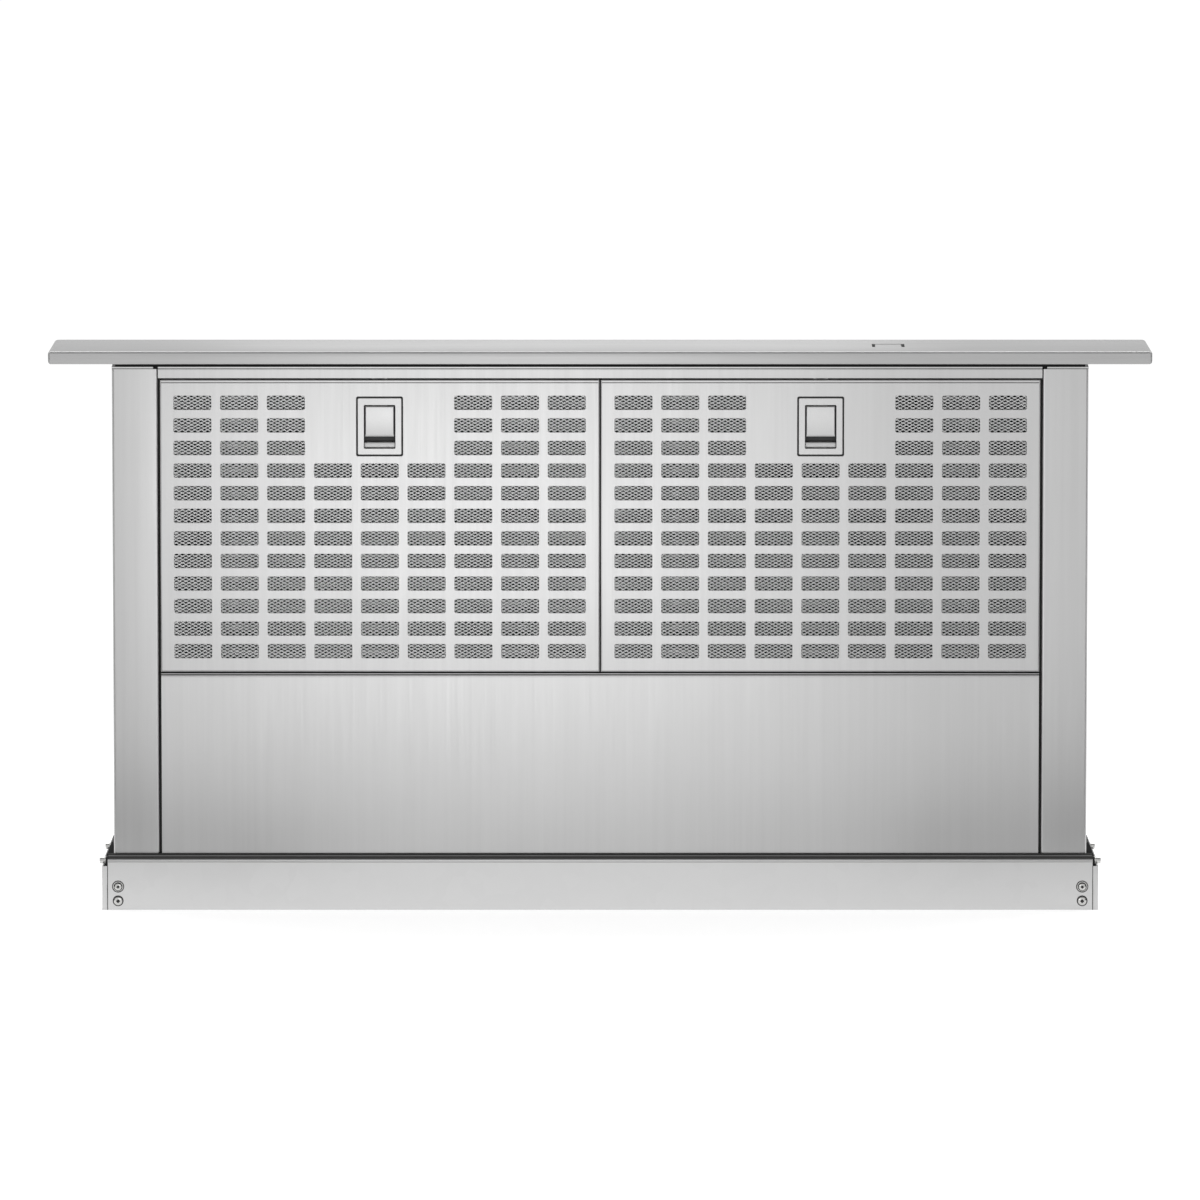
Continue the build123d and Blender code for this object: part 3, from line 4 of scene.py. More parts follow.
import bmesh
import bpy
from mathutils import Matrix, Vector

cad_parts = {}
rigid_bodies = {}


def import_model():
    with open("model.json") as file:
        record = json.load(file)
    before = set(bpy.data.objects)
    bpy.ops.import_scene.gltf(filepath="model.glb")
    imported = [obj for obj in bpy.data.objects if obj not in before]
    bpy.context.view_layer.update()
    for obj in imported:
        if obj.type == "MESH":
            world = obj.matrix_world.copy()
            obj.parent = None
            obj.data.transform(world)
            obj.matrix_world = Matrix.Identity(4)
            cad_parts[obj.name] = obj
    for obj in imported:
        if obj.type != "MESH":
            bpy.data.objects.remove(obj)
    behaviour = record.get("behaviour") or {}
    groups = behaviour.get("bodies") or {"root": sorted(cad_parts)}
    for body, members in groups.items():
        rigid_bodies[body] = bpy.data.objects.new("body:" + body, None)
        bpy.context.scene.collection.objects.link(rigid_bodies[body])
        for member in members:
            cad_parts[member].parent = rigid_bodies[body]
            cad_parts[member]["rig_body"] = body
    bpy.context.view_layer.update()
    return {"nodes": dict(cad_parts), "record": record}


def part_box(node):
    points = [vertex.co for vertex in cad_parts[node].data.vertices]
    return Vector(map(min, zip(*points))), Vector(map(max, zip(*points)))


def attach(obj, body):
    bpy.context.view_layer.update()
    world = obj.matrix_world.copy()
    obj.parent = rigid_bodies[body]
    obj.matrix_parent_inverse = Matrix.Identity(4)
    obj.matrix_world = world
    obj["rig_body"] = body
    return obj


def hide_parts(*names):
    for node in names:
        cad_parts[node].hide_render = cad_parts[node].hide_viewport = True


# Retractable downdraft vent, raised out of its chassis. Sizes here are in millimetres and become
# metres when a mesh is made. Front is -Y, up is +Z.

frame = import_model()
NODES = frame["nodes"]
SLOT_OF = {part["node"]: part["material_slot"] for part in frame["record"]["subparts"]}
MM = 0.001
SIDES = {"left": -1, "right": 1}


def box_mm(node):
    """Lowest and highest corner of a CAD node, in millimetres."""
    low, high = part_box(node)
    return low / MM, high / MM


def on_side(sign, near, far):
    """Two distances from the middle as the lower and the higher x on one side."""
    return sorted((sign * near, sign * far))


def new_object(name, data):
    """An object in the scene that shows the given mesh, lamp or camera."""
    thing = bpy.data.objects.new(name, data)
    bpy.context.scene.collection.objects.link(thing)
    return thing


# ---- Camera ----
# The vent is seen from far off and a little above: 1.45 of the frame's pixels to a millimetre.
FRAME_PX = 1200
CAMERA_DISTANCE = 9.0
CAMERA_TILT = math.radians(7.519)
CAMERA_FOCAL_PX = 12961.8
CAMERA_AIM = Vector((-0.0001, 0.0, 0.8278))
SENSOR = 36.0

camera_data = bpy.data.cameras.new("product_camera")
camera_data.sensor_width = SENSOR
camera_data.lens = CAMERA_FOCAL_PX / FRAME_PX * SENSOR
camera_data.clip_start = 0.1
camera_data.clip_end = 100.0
camera = new_object("product_camera", camera_data)
camera_back = Vector((0, -math.cos(CAMERA_TILT), math.sin(CAMERA_TILT)))
camera.location = CAMERA_AIM + camera_back * CAMERA_DISTANCE
camera.rotation_euler = (-camera_back).to_track_quat("-Z", "Y").to_euler()
bpy.context.scene.camera = camera
bpy.context.scene.view_settings.view_transform = "Standard"


# ---- Node tree helper ----
class Net:
    """Adds nodes to a tree; a socket given as an input is linked, anything else is set."""

    def __init__(self, tree):
        self.tree = tree

    def add(self, kind, inputs=None, **settings):
        node = self.tree.nodes.new(kind)
        for key, value in settings.items():
            setattr(node, key, value)
        for key, value in (inputs or {}).items():
            if isinstance(value, bpy.types.NodeSocket):
                self.tree.links.new(value, node.inputs[key])
            else:
                node.inputs[key].default_value = value
        return node

    def shape(self, kind, inputs, **settings):
        """The geometry that a new Geometry Nodes node gives."""
        return self.add("GeometryNode" + kind, inputs, **settings).outputs[0]

    def math(self, operation, a, b=0.0, c=0.5):
        return self.add("ShaderNodeMath", {0: a, 1: b, 2: c}, operation=operation).outputs[0]

    def vector(self, **parts):
        return self.add("ShaderNodeCombineXYZ", parts).outputs[0]

    def moved(self, geometry, **parts):
        """Geometry shifted along X, Y or Z."""
        shift = self.vector(**parts)
        return self.shape("Transform", {"Geometry": geometry, "Translation": shift})

    def joined(self, *parts):
        """Several geometries as one."""
        node = self.add("GeometryNodeJoinGeometry")
        for part in parts:
            self.tree.links.new(part, node.inputs[0])
        return node.outputs[0]

    def position(self):
        """Each point's place, as X, Y and Z."""
        place = self.add("GeometryNodeInputPosition").outputs[0]
        return self.add("ShaderNodeSeparateXYZ", {0: place}).outputs

    def rectangle(self, width, height):
        return self.shape("CurvePrimitiveQuadrilateral", {"Width": width, "Height": height})

    def round_corners(self, curve, radius, steps):
        inputs = {"Curve": curve, "Count": steps, "Radius": radius}
        return self.shape("FilletCurve", inputs, mode="POLY")

    def line(self, count, **parts):
        """A row of points with the same step between them."""
        step = self.vector(**parts)
        return self.shape("MeshLine", {"Count": count, "Offset": step}, mode="OFFSET")

    def shifted_points(self, geometry, **parts):
        """Each point moved by its own amount."""
        shift = self.vector(**parts)
        return self.shape("SetPosition", {"Geometry": geometry, "Offset": shift})

    def without(self, geometry, gone):
        """Geometry less the points where the field is true."""
        inputs = {"Geometry": geometry, "Selection": gone}
        return self.shape("DeleteGeometry", inputs, domain="POINT")

    def copies(self, points, copy):
        return self.shape("InstanceOnPoints", {"Points": points, "Instance": copy})

    def realized(self, geometry):
        return self.shape("RealizeInstances", {0: geometry})

    def seen_by_mirrors(self):
        """True for the rays that the camera, a mirror or glass sends."""
        ray = self.add("ShaderNodeLightPath").outputs
        clear = self.math("MAXIMUM", ray["Is Glossy Ray"], ray["Is Transmission Ray"])
        return self.math("MAXIMUM", ray["Is Camera Ray"], clear)


# ---- Finishes ----
def empty_net(owner):
    """The owner's cleared node tree, ready for new nodes."""
    owner.use_nodes = True
    owner.node_tree.nodes.clear()
    return Net(owner.node_tree)


def finish(name, metallic=0.0, **sockets):
    """A new material: its net, its main shader and the object's coordinates."""
    material = bpy.data.materials.new(name)
    net = empty_net(material)
    shader = net.add("ShaderNodeBsdfPrincipled", {"Metallic": metallic, **sockets})
    net.add("ShaderNodeOutputMaterial", {0: shader.outputs[0]})
    place = net.add("ShaderNodeTexCoord").outputs["Object"]
    return material, net, shader, place


def grain_noise(net, place, scale, detail=2.0, roughness=0.55):
    """Noise stretched by a different scale, in cycles a metre, along each axis."""
    mapped = net.add("ShaderNodeMapping", {"Vector": place, "Scale": scale})
    noise = net.add(
        "ShaderNodeTexNoise",
        {"Vector": mapped.outputs[0], "Scale": 1.0, "Detail": detail, "Roughness": roughness},
    )
    return noise.outputs["Fac"]


def spread_value(net, factor):
    """Stretches the middle of a noise to the span from 0 to 1."""
    inputs = {"Value": factor, "From Min": 0.3, "From Max": 0.7}
    return net.add("ShaderNodeMapRange", inputs).outputs[0]


def shaded(net, factor, colour, spread):
    """The colour made lighter and darker by a share, following the factor."""
    dark = tuple(c * (1 - spread) for c in colour) + (1.0,)
    light = tuple(min(1.0, c * (1 + spread)) for c in colour) + (1.0,)
    mix = net.add("ShaderNodeMix", {"Factor": factor, 6: dark, 7: light}, data_type="RGBA")
    return mix.outputs[2]


def coat_with(net, shader, colour, rough, height, strength, distance):
    """Wires a surface: its colour, its roughness where one is given, and its fine relief."""
    relief = {"Height": height, "Strength": strength, "Distance": distance}
    sockets = {
        "Base Color": colour,
        "Roughness": rough,
        "Normal": net.add("ShaderNodeBump", relief).outputs[0],
    }
    for socket, value in sockets.items():
        if value is not None:
            net.tree.links.new(value, shader.inputs[socket])


def brushed(name, colour, along, roughness=0.32, streak=0.035, edge=1.0):
    """Brushed sheet whose scratches run along one axis, with broader bands and faint clouds."""
    material, net, shader, place = finish(name, 1.0)
    shader.inputs["Specular Tint"].default_value = (edge, edge, edge, 1.0)
    fine = tuple(14.0 if axis == along else 1900.0 for axis in "XYZ")
    broad = tuple(2.5 if axis == along else 210.0 for axis in "XYZ")
    scratches = grain_noise(net, place, fine, 3.0)
    bands = grain_noise(net, place, broad, 4.0, 0.7)
    clouds = grain_noise(net, place, (7.0,) * 3)
    both = net.math("MULTIPLY_ADD", bands, 0.55, net.math("MULTIPLY", clouds, 0.45))
    tint = shaded(net, spread_value(net, both), colour, streak)
    rough = net.math("MULTIPLY_ADD", scratches, 0.16, roughness - 0.08)
    coat_with(net, shader, tint, rough, scratches, 0.5, 0.00001)
    return material


def galvanised(name, colour, roughness=0.42):
    """Zinc-coated sheet: faint crystals, small specks and a soft sheen."""
    material, net, shader, place = finish(name, 1.0)
    wobble = net.add("ShaderNodeTexNoise", {"Vector": place, "Scale": 90.0, "Detail": 2.0})
    sway = {0: wobble.outputs["Color"], 3: 0.012}
    bent = net.add("ShaderNodeVectorMath", sway, operation="SCALE")
    moved = net.add("ShaderNodeVectorMath", {0: place, 1: bent.outputs[0]}, operation="ADD")
    crystal = net.add("ShaderNodeTexVoronoi", {"Vector": moved.outputs[0], "Scale": 75.0})
    crystal_tone = net.add("ShaderNodeSeparateColor", {0: crystal.outputs["Color"]}).outputs[0]
    specks = grain_noise(net, place, (900.0,) * 3)
    tone = net.math("MULTIPLY_ADD", specks, 0.5, net.math("MULTIPLY", crystal_tone, 0.4))
    tint = shaded(net, tone, colour, 0.035)
    rough = net.math("MULTIPLY_ADD", tone, 0.14, roughness - 0.06)
    coat_with(net, shader, tint, rough, specks, 0.25, 0.00002)
    return material


def blasted(name, colour, roughness=0.4, metallic=1.0, grain=1500.0, spread=0.09, relief=0.00004):
    """Fine speckled surface: bead-blasted metal, cast parts, moulded plastic and rubber."""
    material, net, shader, place = finish(name, metallic)
    specks = grain_noise(net, place, (grain,) * 3, 3.0, 0.6)
    clouds = grain_noise(net, place, (25.0,) * 3, 3.0)
    tone = net.math("MULTIPLY_ADD", specks, 0.6, net.math("MULTIPLY", clouds, 0.4))
    tint = shaded(net, spread_value(net, tone), colour, spread)
    rough = net.math("MULTIPLY_ADD", clouds, 0.16, roughness - 0.08)
    coat_with(net, shader, tint, rough, specks, 0.4, relief)
    return material


def felt(name, colour):
    """Dense pressed fibres, matte and slightly uneven."""
    material, net, shader, place = finish(name, 0.0, Roughness=0.95)
    fibres = grain_noise(net, place, (2600.0, 700.0, 2600.0), 4.0, 0.8)
    coat_with(net, shader, shaded(net, fibres, colour, 0.5), None, fibres, 0.7, 0.0002)
    return material


def grey(tone):
    return (tone, tone, tone)


FINISHES = {
    "galvanised_steel": galvanised("galvanised_sheet", grey(0.64)),
    "stainless_upright": brushed("stainless_brushed_upright", grey(0.50), "Z", streak=0.045),
    "stainless_cap": brushed(
        "stainless_brushed_lengthwise", grey(0.42), "X", streak=0.09, edge=0.76
    ),
    "filter_sheet": brushed("filter_sheet_brushed", grey(0.51), "Z", streak=0.05),
    # The mesh's core layer is near black: painted shade deep in the filter's stack of mesh.
    "mesh_core": blasted("mesh_core_painted_shade", grey(0.02), 0.5, spread=0.3),
    "filter_mesh": blasted("mesh_aluminium", grey(0.92), 0.3, spread=0.08),
    "filter_frame": brushed("frame_aluminium", (0.64, 0.64, 0.65), "X", 0.4),
    "satin_latch": blasted("latch_bead_blasted", grey(0.53), 0.34, spread=0.06),
    "spring_steel": brushed("spring_strip", (0.42, 0.42, 0.43), "X", 0.25),
    "wiper_rubber": blasted("wiper_rubber", grey(0.018), 0.6, 0.0, 2500.0),
    "guide_plastic": blasted("guide_nylon_black", (0.02, 0.02, 0.021), 0.45, 0.0, 1800.0),
    "pad_nylon": blasted("pad_nylon_natural", (0.72, 0.70, 0.64), 0.5, 0.0, 900.0, 0.04),
    "seal_felt": felt("seal_felt", (0.035, 0.035, 0.036)),
    "zinc_fasteners": blasted("zinc_plate", (0.66, 0.66, 0.64), 0.28, spread=0.05),
    "lead_screw_steel": blasted("rolled_thread_steel", (0.42, 0.42, 0.43), 0.3),
    "pulley_alloy": blasted("turned_alloy", (0.66, 0.66, 0.67), 0.34, spread=0.04),
    "belt_rubber": blasted("belt_rubber", grey(0.022), 0.55, 0.0, 2200.0),
    "motor_black": blasted("motor_black_paint", (0.035, 0.035, 0.038), 0.42, 0.0, 1400.0),
    "nut_brass": blasted("machined_brass", (0.60, 0.47, 0.24), 0.32, spread=0.05),
    "lip_steel": brushed("lip_sheet", grey(0.47), "X"),
    "screw_face": blasted("zinc_bright", (0.58, 0.58, 0.57), 0.2, spread=0.05),
    # Two lighter greys of the black wiper rubber: a painted highlight on the seal's bead and a
    # painted sheen on its flange.
    "seal_bead": blasted("wiper_rubber_painted_highlight", grey(0.16), 0.5, 0.0, 2500.0),
    "seal_flange": blasted("wiper_rubber_painted_sheen", grey(0.06), 0.6, 0.0, 2500.0),
    # Near-black matte for the strips of painted shade in gaps, notches and bends, and for the dark
    # seam on each side channel.
    "shade_and_seam_black": blasted("painted_shade_and_seam_black", grey(0.014), 0.9, 0.0, 1600.0, 0.3, 0.0001),
    "circuit_board": blasted("board_lacquer", (0.015, 0.13, 0.055), 0.35, 0.0, 400.0, 0.15),
}


# ---- Mesh helpers ----
def mesh_object(name, vertices, faces, smooth_angle=35.0, add_faces=None):
    """A mesh object from millimetre points, its faces outwards and its creases kept sharp.

    A function may add faces to the mesh under work.
    """
    mesh = bpy.data.meshes.new(name)
    mesh.from_pydata([Vector(v) * MM for v in vertices], [], faces)
    tidy = bmesh.new()
    tidy.from_mesh(mesh)
    if add_faces:
        tidy.verts.ensure_lookup_table()
        add_faces(tidy)
    bmesh.ops.remove_doubles(tidy, verts=tidy.verts, dist=1e-7)
    bmesh.ops.recalc_face_normals(tidy, faces=tidy.faces)
    tidy.to_mesh(mesh)
    tidy.free()
    mesh.shade_smooth()
    mesh.set_sharp_from_angle(angle=math.radians(smooth_angle))
    return new_object(name, mesh)


def finished(thing, body, slot, stands_for=(), coat=None):
    """Gives a piece its finish, its body and the CAD nodes that it stands for."""
    thing.data.materials.clear()
    thing.data.materials.append(FINISHES[coat or slot])
    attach(thing, body)
    if stands_for:
        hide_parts(*stands_for)
    return thing


def plain_mesh(thing, name):
    """The evaluated object as a new object with a plain mesh and no modifiers."""
    bpy.context.view_layer.update()
    graph = bpy.context.evaluated_depsgraph_get()
    mesh = bpy.data.meshes.new_from_object(thing.evaluated_get(graph))
    mesh.name = name
    bpy.data.objects.remove(thing)
    return new_object(name, mesh)


def soften(thing, name, width, segments=2, angle=35.0):
    """Rounds the piece's sharp edges by a small width and bakes the result."""
    bevel = thing.modifiers.new("edges", "BEVEL")
    bevel.width = width * MM
    bevel.segments = segments
    bevel.limit_method = "ANGLE"
    bevel.angle_limit = math.radians(angle)
    bevel.harden_normals = True
    bevel.use_clamp_overlap = True
    thing.data.shade_smooth()
    return plain_mesh(thing, name)


def merged_copy(node, name):
    """A copy of a CAD node's mesh with its loose triangles joined into flat faces."""
    mesh = NODES[node].data.copy()
    mesh.materials.clear()
    tidy = bmesh.new()
    tidy.from_mesh(mesh)
    bmesh.ops.remove_doubles(tidy, verts=tidy.verts, dist=1e-6)
    bmesh.ops.dissolve_limit(
        tidy, angle_limit=math.radians(0.5), verts=tidy.verts, edges=tidy.edges
    )
    tidy.to_mesh(mesh)
    tidy.free()
    if mesh.attributes.get("custom_normal"):
        mesh.attributes.remove(mesh.attributes["custom_normal"])
    return new_object(name, mesh)


def dress(node, width):
    """The CAD node again with softly rounded edges, in its slot's finish."""
    thing = soften(merged_copy(node, node + "_edges"), node + "_finished", width)
    return finished(thing, NODES[node]["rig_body"], SLOT_OF[node], (node,))


def rounded(width, height, radii, steps=5):
    """Points round a rectangle with rounded corners, as (across, up).

    The radius may be a pair, for the upper and the lower corners.
    """
    upper, lower = radii if isinstance(radii, tuple) else (radii, radii)
    points = []
    for sx, sy, start in ((1, 1, 0), (-1, 1, 90), (-1, -1, 180), (1, -1, 270)):
        radius = upper if sy > 0 else lower
        for step in range(steps + 1):
            turn = math.radians(start + 90 * step / steps)
            u = sx * (width / 2 - radius) + radius * math.cos(turn)
            v = sy * (height / 2 - radius) + radius * math.sin(turn)
            points.append((u, v))
    return points


def loft(rings, capped=False, closed=False):
    """Vertices and faces that join rings of equal length, one after another."""
    count = len(rings[0])
    vertices = [p for ring in rings for p in ring]
    faces = []
    spans = len(rings) if closed else len(rings) - 1
    for span in range(spans):
        a, b = span * count, (span + 1) % len(rings) * count
        for i in range(count):
            j = (i + 1) % count
            faces.append((a + i, a + j, b + j, b + i))
    if capped:
        faces.append(tuple(range(count))[::-1])
        faces.append(tuple(range(len(vertices) - count, len(vertices))))
    return vertices, faces


def solid(name, rings, smooth_angle=35.0):
    """A lofted piece with a face on each end."""
    return mesh_object(name, *loft(rings, capped=True), smooth_angle)


def upright_ring(centre_x, centre_z, y, points):
    return [(centre_x + u, y, centre_z + v) for u, v in points]


def flat_ring(centre_x, centre_y, z, points):
    return [(centre_x + u, centre_y + v, z) for u, v in points]


def box_piece(name, x, y, z):
    """A plain block that fills a span along each axis."""
    corners = ((y[0], z[0]), (y[1], z[0]), (y[1], z[1]), (y[0], z[1]))
    rings = [[(end, v, w) for v, w in corners] for end in x]
    return solid(name, rings)


# ---- Geometry Nodes ----
def geometry_tree(name, sizes):
    """A Geometry Nodes group with named inputs; returns the net, the inputs and the ids."""
    tree = bpy.data.node_groups.new(name, "GeometryNodeTree")
    tree.interface.new_socket("Geometry", in_out="OUTPUT", socket_type="NodeSocketGeometry")
    kinds = (
        (float, "NodeSocketFloat"),
        (int, "NodeSocketInt"),
        (bpy.types.Object, "NodeSocketObject"),
        (bpy.types.Material, "NodeSocketMaterial"),
    )
    ids = {}
    for label, value in sizes.items():
        kind = next(kind for sort, kind in kinds if isinstance(value, sort))
        ids[label] = tree.interface.new_socket(label, in_out="INPUT", socket_type=kind).identifier
    net = Net(tree)
    return net, net.add("NodeGroupInput").outputs, ids


def run_tree(name, net, ids, sizes, geometry, material):
    """Ends the tree and puts it on an empty mesh, with each input set by its identifier."""
    whole = net.realized(geometry)
    coated = net.shape("SetMaterial", {"Geometry": whole, "Material": material})
    net.add("NodeGroupOutput", {0: coated})
    carrier = new_object(name + "_carrier", bpy.data.meshes.new(name + "_carrier"))
    modifier = carrier.modifiers.new(name, "NODES")
    modifier.node_group = net.tree
    for label, value in sizes.items():
        modifier[ids[label]] = value
    return carrier


def perforated_sheet(name, sizes):
    """Sheet in the XY plane with a grid of rounded slots, a bare patch and a latch opening."""
    net, given, ids = geometry_tree(name, sizes)
    outline = net.moved(
        net.rectangle(given["Sheet width"], given["Sheet height"]),
        X=given["Sheet across"],
        Y=given["Sheet rise"],
    )
    slot = net.rectangle(given["Slot width"], given["Slot height"])
    slot = net.round_corners(slot, given["Slot corner"], 4)
    counts = {}
    for axis, pitch, count in (("X", "Pitch across", "Columns"), ("Y", "Pitch down", "Rows")):
        gaps = net.math("SUBTRACT", given[count], 1.0)
        counts["Size " + axis] = net.math("MULTIPLY", given[pitch], gaps)
        counts["Vertices " + axis] = given[count]
    pattern = net.moved(net.shape("MeshGrid", counts), Y=given["Pattern rise"])
    across, up, _ = net.position()
    near = net.math("LESS_THAN", net.math("ABSOLUTE", across), given["Bare half width"])
    high = net.math("GREATER_THAN", up, given["Bare from"])
    slots = net.copies(net.without(pattern, net.math("MULTIPLY", near, high)), slot)
    opening = net.rectangle(given["Latch width"], given["Latch height"])
    opening = net.round_corners(opening, given["Latch corner"], 5)
    opening = net.moved(opening, Y=given["Latch rise"])
    curves = net.joined(outline, net.realized(slots), opening)
    flat = net.shape("FillCurve", {"Curve": curves}, mode="TRIANGLES")
    depth = {"Mesh": flat, "Offset Scale": given["Thickness"], "Individual": False}
    front = net.shape("ExtrudeMesh", depth)
    both = net.joined(front, net.shape("FlipFaces", {"Mesh": flat}))
    closed = net.shape("MergeByDistance", {"Geometry": both, "Distance": 1e-6})
    return run_tree(name, net, ids, sizes, closed, given["Finish"])


def expanded_mesh(name, sizes):
    """One layer of expanded metal in the XY plane: rows of zigzag strands that meet at knuckles."""
    net, given, ids = geometry_tree(name, sizes)
    odd = net.math("MODULO", net.add("GeometryNodeInputIndex").outputs[0], 2.0)
    to_and_fro = net.math("SUBTRACT", odd, 0.5)
    strand = net.shifted_points(
        net.line(given["Points"], X=given["Half cell"]),
        X=net.math("MULTIPLY", odd, given["Slant"]),
        Y=net.math("MULTIPLY", to_and_fro, given["Sway"]),
        Z=net.math("MULTIPLY", to_and_fro, given["Lean"]),
    )
    rows = net.shifted_points(
        net.line(given["Rows"], Y=given["Row pitch"]),
        X=net.math("MULTIPLY", odd, given["Half cell"]),
    )
    laid = net.realized(net.copies(rows, strand))
    moved = net.moved(laid, X=given["From across"], Y=given["From up"])
    across, up, _ = net.position()
    beside = net.math("ABSOLUTE", across)
    outside = net.math(
        "MAXIMUM",
        net.math("GREATER_THAN", beside, given["Half width"]),
        net.math("GREATER_THAN", net.math("ABSOLUTE", up), given["Half height"]),
    )
    channel = net.math(
        "MULTIPLY",
        net.math("LESS_THAN", beside, given["Channel half width"]),
        net.math("GREATER_THAN", up, given["Channel from"]),
    )
    kept = net.without(moved, net.math("MAXIMUM", outside, channel))
    wires = net.shape("MeshToCurve", {0: kept})
    section = {"Resolution": 3, "Radius": given["Strand radius"]}
    section = net.shape("CurvePrimitiveCircle", section, mode="RADIUS")
    turn = net.vector(Z=given["Section turn"])
    profile = net.shape("Transform", {"Geometry": section, "Rotation": turn})
    sweep = {"Curve": wires, "Profile Curve": profile, "Fill Caps": True}
    return run_tree(name, net, ids, sizes, net.shape("CurveToMesh", sweep), given["Finish"])


def spread_copies(name, sizes, points, turn):
    """Copies of one object on a list of points, all turned the same way."""
    net, given, ids = geometry_tree(name, sizes)
    copy = net.add(
        "GeometryNodeObjectInfo", {"Object": given["Copy"]}, transform_space="ORIGINAL"
    )
    starts = [{"Count": 1, "Start Location": Vector(point) * MM} for point in points]
    places = net.joined(*(net.shape("MeshLine", start, mode="OFFSET") for start in starts))
    angles = tuple(math.radians(angle) for angle in turn)
    turned = {"Geometry": copy.outputs["Geometry"], "Rotation": angles}
    copies = net.copies(places, net.shape("Transform", turned))
    return run_tree(name, net, ids, sizes, copies, given["Finish"])


def turned_upright(thing, x, y, z):
    """Turns a mesh from the XY plane to face the front and puts its middle at x, y, z."""
    for vertex in thing.data.vertices:
        across, up, out = vertex.co
        vertex.co = (across + x * MM, y * MM - out, up + z * MM)
    thing.data.update()


# ---- Grease filters ----
SHEET = 0.8
SLOT_W, SLOT_H, SLOT_CORNER = 26.0, 9.8, 1.3
PITCH_X, PITCH_Z = 32.35, 15.75
COLUMNS, ROWS = 9, 12
TOP_MARGIN = 10.8  # from the tray's top to its first row of slots
BARE_HALF_W, BARE_H = 60.0, 54.0  # the patch round the latch, which has no slots
BEND_R = 0.85
TOP_BAND = 1.9  # height of the folded edge over the pressed line
GROOVE = 0.35  # width of the pressed line
GROOVE_SHADE_LAP, GROOVE_SHADE_T = 0.4, 0.3  # the black strip of painted shade behind the pressed line
GROW_OUTER, GROW_MIDDLE, GROW_BELOW, GROW_ABOVE = 0.6, 0.85, 0.9, 0.3  # tray over its solid
LATCH_W, LATCH_H = 30.3, 39.4
LATCH_GAP = 1.05
LATCH_CORNER = 0.9
OPENING_CORNER = 1.3
LATCH_DROP = 32.2  # from the tray's top to the latch's middle
WINDOW_W, WINDOW_H = 21.5, 30.1
WINDOW_DROP = 0.3
POCKET = 7.5
TAB_GAP = 0.8
TAB_H, TAB_T = 21.1, 4.0
CHANNEL_HALF_W, CHANNEL_DROP = 18.5, 23.2  # the space in the mesh for the latch
# Each layer of mesh: its cell, row pitch, depth, shift, strand radius and finish.
MESH_LAYERS = {
    "front": (4.4, 1.16, 0.7, 0.0, 0.55, "filter_mesh"),
    # The core layer's near-black finish is painted shade deep in the stack.
    "core": (4.2, 1.6, 2.9, 0.3, 0.7, "mesh_core"),
    "back": (4.6, 1.8, 4.6, 0.7, 0.34, "filter_mesh"),
}


def tray_rim(name, low, high):
    """The tray's bent edge and its four walls, a closed strip that starts at the back."""
    middle = (low + high) / 2
    half_w, half_h = (high.x - low.x) / 2, (high.z - low.z) / 2
    front, back = low.y, high.y
    inner = (BEND_R - SHEET) * 0.3
    profile = [(0.0, back)]
    for turn in (math.radians(angle) for angle in range(0, 91, 18)):
        profile.append((BEND_R * (1 - math.cos(turn)), front + BEND_R * (1 - math.sin(turn))))
    profile += [
        (BEND_R, front + SHEET),
        (SHEET + inner, front + SHEET + inner),
        (SHEET, front + BEND_R),
        (SHEET, back),
    ]
    rings = []
    for inset, y in profile:
        w, h = half_w - inset, half_h - inset
        corners = ((-w, -h), (w, -h), (w, h), (-w, h))
        rings.append(upright_ring(middle.x, middle.z, y, corners))
    return mesh_object(name, *loft(rings, closed=True), 40.0)


def tray_box(side):
    """The tray's corners, a little outside the solid's so that the gaps are fine lines."""
    low, high = box_mm(f"filter_face_{side}")
    grow = (GROW_OUTER, GROW_MIDDLE) if side == "left" else (GROW_MIDDLE, GROW_OUTER)
    return low - Vector((grow[0], 0, GROW_BELOW)), high + Vector((grow[1], 0, GROW_ABOVE))


def slotted_sheet(side, low, high, tray_low, sheet_top):
    """The tray's flat face with its slots and its opening for the latch."""
    middle = (low + high) / 2
    height = high.z - low.z
    tray_high = tray_box(side)[1]
    sheet_bottom = tray_low.z + BEND_R
    pattern_top = height / 2 - TOP_MARGIN - SLOT_H / 2
    lengths = {
        "Sheet width": tray_high.x - tray_low.x - 2 * BEND_R,
        "Sheet height": sheet_top - sheet_bottom,
        "Sheet across": (tray_low.x + tray_high.x) / 2 - middle.x,
        "Sheet rise": (sheet_top + sheet_bottom) / 2 - middle.z,
        "Slot width": SLOT_W,
        "Slot height": SLOT_H,
        "Slot corner": SLOT_CORNER,
        "Pitch across": PITCH_X,
        "Pitch down": PITCH_Z,
        "Pattern rise": pattern_top - PITCH_Z * (ROWS - 1) / 2,
        "Bare half width": BARE_HALF_W,
        "Bare from": height / 2 - BARE_H,
        "Latch width": LATCH_W + 2 * LATCH_GAP,
        "Latch height": LATCH_H + 2 * LATCH_GAP,
        "Latch corner": OPENING_CORNER,
        "Latch rise": height / 2 - LATCH_DROP,
        "Thickness": SHEET,
    }
    sizes = {label: length * MM for label, length in lengths.items()}
    sizes |= {"Columns": COLUMNS, "Rows": ROWS, "Finish": FINISHES["filter_sheet"]}
    sheet = plain_mesh(perforated_sheet(f"slot_pattern_{side}", sizes), f"slotted_sheet_{side}")
    turned_upright(sheet, middle.x, low.y + SHEET, middle.z)
    return soften(sheet, f"slotted_face_{side}", 0.18, angle=60.0)


